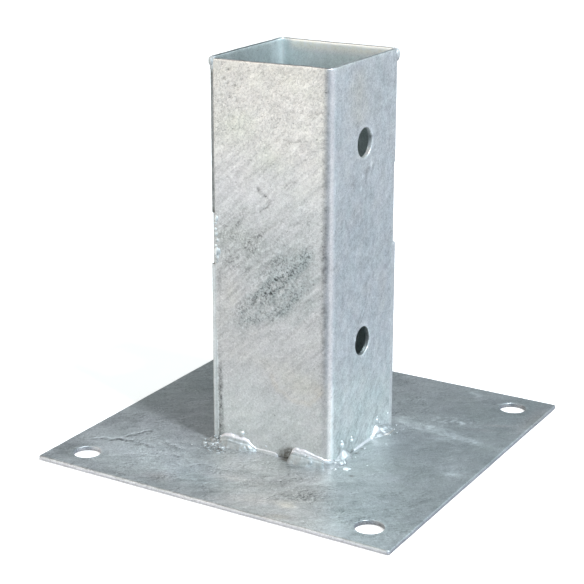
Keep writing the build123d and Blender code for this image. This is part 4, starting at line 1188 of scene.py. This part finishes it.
    # zinc that ran into the bare corner between the beads
    bright = lambda p, v: {"tone": 0.34 + 0 * v, "warm": 0.0 + 0 * v, "pink": 0.5 + 0 * v}
    thin = lambda p, v: {"tone": np.interp(v, [0, 0.26, 0.40, 1], [0.36, 0.36, -0.12, -0.14]), "warm": np.interp(v, [0, 0.26, 0.40, 1], [0.0, 0.0, -0.4, -0.4]), "pink": np.interp(v, [0, 0.3, 0.5, 1], [0.5, 0.5, 0.0, 0.0])}
    pale = lambda p, v: {"tone": 0.14 + 0 * v, "warm": -0.1 + 0 * v, "pink": 0.4 + 0 * v}
    foot_run("foot_zinc_front", 1, FRONT_S, [(-6.8, 1.5), (-4, 1.5), (-1, 1.6), (0.6, 1.6), (3.6, 1.3)], [(-6.8, 0.6), (-1, 0.5), (3.6, 0.4)], 791, bow=(0.45, 0.45), rough=0.03, ripple=0.0, nodes=(), marks=thin)
    foot_run("foot_zinc_right", 1, SIDE_S, [(-6.0, 0.5), (-3, 0.8), (4, 0.8), (7.8, 0.9)], [(-6.0, 0.5), (0, 0.7), (7.8, 0.8)], 795, bow=(0.45, 0.45), rough=0.03, ripple=0.0, nodes=(), marks=pale)
    foot_run("foot_zinc_rear", -1, FRONT_S, [(-8.6, 0.8), (0, 0.7), (8.0, 0.9)], [(-8.6, 0.8), (0, 0.8), (8.0, 0.8)], 797, bow=(0.45, 0.45), rough=0.03, ripple=0.0, nodes=(), marks=bright, step=0.3)
    foot_run("foot_zinc_left", -1, SIDE_S, [(-8.0, 0.8), (0, 0.7), (8.0, 0.9)], [(-8.0, 0.8), (0, 0.8), (8.0, 0.8)], 799, bow=(0.45, 0.45), rough=0.03, ripple=0.0, nodes=(), marks=bright, step=0.3)
    # the left corner: a low mound, crusted with small lumps and curled threads
    lumps = [
        (-25.0, -25.0, 0.0, 2.7, 0.62, up),
        (-23.4, -26.8, 0.0, 1.9, 0.55, up),
        (-21.2, -28.2, 0.0, 1.6, 0.42, up),
        (-26.9, -26.4, 0.0, 1.5, 0.50, up),
        (-19.4, -29.4, 0.0, 1.3, 0.34, up),
        (-24.6, -28.8, 0.0, 1.4, 0.40, up),
        (-22.0, -30.8, 0.0, 1.2, 0.34, up),
        (-27.4, -28.8, 0.0, 1.1, 0.36, up),
        (-23.9, -26.1, 1.4, 0.72, 0.8, (0, -1, 0.5)),
        (-24.9, -26.0, 2.0, 0.60, 0.8, (-1, -1, 0.3)),
        (-22.8, -27.2, 0.9, 0.50, 0.8, up),
        (-22.2, -26.0, 2.6, 0.40, 0.8, (0, -1, 0.2)),
    ]
    curls = [
        (-23.2, -28.6, 1.4, 200, 230, 0.36), (-20.8, -29.6, 1.5, 150, 250, 0.36), (-18.6, -30.4, 1.4, 120, 220, 0.34),
        (-25.4, -28.0, 1.3, 90, 250, 0.34), (-22.2, -31.2, 1.2, 20, 240, 0.32), (-26.6, -29.6, 1.1, 40, 220, 0.30),
        (-19.4, -32.4, 1.1, 200, 210, 0.30), (-16.6, -31.6, 1.1, 60, 200, 0.30), (-28.2, -27.0, 1.0, 120, 210, 0.30),
        (-24.2, -32.2, 1.0, 180, 220, 0.27), (-16.0, -33.4, 0.9, 10, 190, 0.26), (-18.0, -34.4, 1.0, 240, 200, 0.26),
        (-21.4, -34.2, 0.9, 130, 210, 0.25), (-26.4, -31.6, 0.8, 300, 190, 0.24),
    ]
    lumps_piece("left_corner_foot_weld", lumps, curls, nodes=("left_corner_foot_weld",),
                stain=[(-23.6, -26.6, 1.2, 0.7, 0.6), (-26.0, -27.4, 0.3, 0.6, 0.4)], tint=0.06)


def make_spatter():
    out, rt, up = (0, -1, 0), (1, 0, 0), (0, 0, 1)
    drops = []

    def on_front(x, z, r, squash=0.7):
        drops.append((x, -H + 0.1 * r, z - Z0, r, squash, out))

    def on_right(y, z, r, squash=0.7):
        drops.append((H - 0.1 * r, y, z - Z0, r, squash, rt))

    def on_plate(x, y, r, squash=0.6):
        drops.append((x, y, -0.1 * r, r, squash, up))

    for z, x, r in ((91.9, -23.2, 1.15), (90.0, -23.7, 0.8), (87.6, -23.6, 0.7), (85.6, -23.4, 0.95), (83.3, -22.9, 0.95), (81.2, -23.5, 0.7), (79.0, -22.7, 1.8), (76.8, -23.0, 1.1), (75.0, -23.3, 0.8)):
        drops.append((x, -H + 0.45 * r, z - Z0, r, 0.75, out))
    on_front(-12.2, 7.8, 0.85, 0.85)
    on_front(-1.8, 4.6, 0.42)
    on_front(-18.6, 9.4, 0.25)
    on_right(-15.4, 7.4, 1.15, 0.85)
    on_right(-15.6, 8.9, 0.6)
    on_right(-7.6, 6.5, 0.85, 0.85)
    on_right(-7.9, 7.9, 0.5)
    on_right(12.9, 7.4, 0.9, 0.85)
    on_right(13.0, 8.8, 0.5)
    on_right(14.9, 5.6, 0.48)
    on_right(22.2, 7.0, 0.6)
    on_right(4.0, 5.0, 0.2)
    for x, y, r in ((28.3, -2.0, 0.5), (31.3, -22.4, 1.35), (32.4, -21.6, 0.55), (28.0, -24.6, 0.5), (33.4, 6.0, 0.22), (37.5, -12.0, 0.2), (30.8, 14.6, 0.3),
                    (29.6, 20.5, 0.28), (28.4, 24.6, 0.32), (36.0, 31.2, 0.22), (44.4, 33.2, 0.26), (47.9, 39.8, 0.28), (50.4, 37.8, 0.22),
                    (-30.6, -33.4, 0.3), (-26.0, -35.2, 0.22), (-15.6, -34.0, 0.25), (-33.0, -38.0, 0.2), (-10.5, -31.5, 0.2), (2.5, -36.0, 0.2), (14.2, -33.2, 0.25)):
        on_plate(x, y, r)
    rng = np.random.default_rng(77)
    for _ in range(26):
        side = rng.integers(0, 4)
        a, d, r = rng.uniform(-30, 30), H + 2.5 + abs(rng.normal(0, 6)), rng.uniform(0.14, 0.26)
        x, y = ((a, d), (-d, a), (a, -d), (d, a))[side]
        on_plate(x, y, r)
    for _ in range(10):
        drops.append((rng.uniform(-22, 22), H - 0.05, rng.uniform(3, 16), rng.uniform(0.18, 0.4), 0.7, (0, 1, 0)))
        drops.append((-H + 0.05, rng.uniform(-22, 22), rng.uniform(3, 16), rng.uniform(0.18, 0.4), 0.7, (-1, 0, 0)))
    lumps_piece("weld_spatter", drops, tint=0.55)


make_plate()
make_angle("front_sheet", "front_angle", 1, 0.62, FRONT_ZINC, 101)
make_angle("rear_sheet", "rear_angle", -1, 0.8, REAR_ZINC, 151)
make_seams()
make_feet()
make_spatter()


# ---- floor, light, camera --------------------------------------------------
def plain(name, colour, rough):
    m = bpy.data.materials.new(name)
    m.use_nodes = True
    s = m.node_tree.nodes["Principled BSDF"]
    s.inputs["Base Color"].default_value = (*colour, 1)
    s.inputs["Roughness"].default_value = rough
    return m


mesh = bpy.data.meshes.new("floor")
R = 6.0
mesh.from_pydata([(-R, -R, -0.0003), (R, -R, -0.0003), (R, R, -0.0003), (-R, R, -0.0003)], [], [(0, 1, 2, 3)])
floor = bpy.data.objects.new("floor", mesh)
bpy.context.scene.collection.objects.link(floor)
pale = plain("pale_floor", (0.90, 0.90, 0.90), 0.9)
pale.node_tree.nodes["Principled BSDF"].inputs["Emission Color"].default_value = (1, 1, 1, 1)
pale.node_tree.nodes["Principled BSDF"].inputs["Emission Strength"].default_value = 0.5
mesh.materials.append(pale)
floor.visible_glossy = False


def area(name, azimuth, elevation, distance, width, height, power, colour, target=(0, 0, 0.06)):
    """A soft light. Azimuth 0 is on the -Y side and 90 on the +X side."""
    a, e = math.radians(azimuth), math.radians(elevation)
    d = Vector((math.sin(a) * math.cos(e), -math.cos(a) * math.cos(e), math.sin(e)))
    data = bpy.data.lights.new(name, "AREA")
    data.shape = "RECTANGLE"
    data.size, data.size_y = width, height
    data.energy = power
    data.color = colour
    light = bpy.data.objects.new(name, data)
    light.location = Vector(target) + d * distance
    light.rotation_mode = "QUATERNION"
    light.rotation_quaternion = d.to_track_quat("Z", "Y")
    bpy.context.scene.collection.objects.link(light)
    return light


# soft light from all around: each row is azimuth, elevation, tightness, colour
LOBES = [
    (-150, -18, 12, (0.3, 0.31, 0.32)),
    (-120, -18, 12, (0.12, 0.14, 0.15)),
    (-90, -18, 12, (0.26, 0.26, 0.26)),
    (-60, -18, 12, (0.36, 0.35, 0.34)),
    (-32, -18, 12, (0.50, 0.50, 0.50)),
    (0, -18, 12, (0.14, 0.16, 0.19)),
    (36, -18, 12, (0.10, 0.14, 0.18)),
    (72, -18, 12, (0.75, 0.78, 0.82)),
    (110, -18, 12, (0.39, 0.37, 0.42)),
    (148, -18, 12, (0.09, 0.14, 0.25)),
    (180, -18, 12, (0.3, 0.31, 0.32)),
    (-120, 18, 12, (0.5, 0.59, 0.62)),
    (-90, 18, 12, (0.32, 0.29, 0.25)),
    (-60, 18, 12, (0.72, 0.68, 0.60)),
    (-32, 18, 12, (1.22, 1.17, 1.08)),
    (0, 18, 12, (0.87, 0.94, 0.97)),
    (36, 18, 12, (0.0, 0.14, 0.29)),
    (72, 18, 12, (0.07, 0.24, 0.35)),
    (110, 18, 12, (0.23, 0.34, 0.36)),
    (148, 18, 12, (0.59, 0.57, 0.56)),
    (-150, 55, 6, (0.0, 0.0, 0.02)),
    (-90, 55, 6, (0.15, 0.0, 0.0)),
    (-30, 55, 6, (0.14, 0.07, 0.0)),
    (30, 55, 6, (0.07, 0.18, 0.18)),
    (90, 55, 6, (0.5, 0.61, 0.6)),
    (150, 55, 6, (0.2, 0.39, 0.46)),
    (0, 90, 6, (0.2, 0.22, 0.18)),
]


def soft_world(lobes):
    """A plain studio surround: soft bright patches, each about one direction."""
    world = bpy.data.worlds.new("studio")
    world.use_nodes = True
    nodes, links = world.node_tree.nodes, world.node_tree.links
    nodes.clear()
    way = nodes.new("ShaderNodeTexCoord").outputs["Generated"]
    total = None
    for az, el, tight, colour in lobes:
        a, e = math.radians(az), math.radians(el)
        dot = nodes.new("ShaderNodeVectorMath")
        dot.operation = "DOT_PRODUCT"
        links.new(way, dot.inputs[0])
        dot.inputs[1].default_value = (
            tight * math.sin(a) * math.cos(e), -tight * math.cos(a) * math.cos(e), tight * math.sin(e),
        )
        less = nodes.new("ShaderNodeMath")
        less.operation = "SUBTRACT"
        links.new(dot.outputs["Value"], less.inputs[0])
        less.inputs[1].default_value = tight
        power = nodes.new("ShaderNodeMath")
        power.operation = "EXPONENT"
        links.new(less.outputs[0], power.inputs[0])
        patch = nodes.new("ShaderNodeVectorMath")
        patch.operation = "SCALE"
        patch.inputs[0].default_value = colour
        patch.name = f"lobe_{az}_{el}"
        links.new(power.outputs[0], patch.inputs["Scale"])
        if total is None:
            total = patch.outputs[0]
        else:
            add = nodes.new("ShaderNodeVectorMath")
            add.operation = "ADD"
            links.new(total, add.inputs[0])
            links.new(patch.outputs[0], add.inputs[1])
            total = add.outputs[0]
    back = nodes.new("ShaderNodeBackground")
    out = nodes.new("ShaderNodeOutputWorld")
    links.new(total, back.inputs["Color"])
    links.new(back.outputs[0], out.inputs["Surface"])
    bpy.context.scene.world = world


area("key_right", 72, 55, 1.4, 0.16, 0.16, 25.8, (0.853, 0.894, 0.97))
soft_world(LOBES)
bpy.context.scene.view_settings.view_transform = "Standard"
bpy.context.scene.view_settings.look = "None"

# the camera was fitted to the photo's edges, for a frame of 584 x 584
F, CX, CY = 1584.1912, 255.0, 222.0
yaw, pitch, roll = (math.radians(x) for x in (31.8851, 15.6509, 0.2774))
fwd = Vector((-math.sin(yaw) * math.cos(pitch), math.cos(yaw) * math.cos(pitch), -math.sin(pitch)))
right = Vector((math.cos(yaw), math.sin(yaw), 0))
down = fwd.cross(right)
cam_x = right * math.cos(roll) + down * math.sin(roll)
cam_down = -right * math.sin(roll) + down * math.cos(roll)
cam = bpy.data.cameras.new("camera")
cam.sensor_width = 36.0
cam.lens = F / 584 * 36.0
cam.shift_x = (292 - CX) / 584
cam.shift_y = (CY - 292) / 584
cam.clip_start, cam.clip_end = 0.05, 20
camera = bpy.data.objects.new("camera", cam)
m = Matrix.Identity(4)
for i, axis in enumerate((cam_x, -cam_down, -fwd)):
    for k in range(3):
        m[k][i] = axis[k]
for k, v in enumerate((290.3527, -504.8087, 250.0834)):
    m[k][3] = v * MM
camera.matrix_world = m
bpy.context.scene.collection.objects.link(camera)
bpy.context.scene.camera = camera
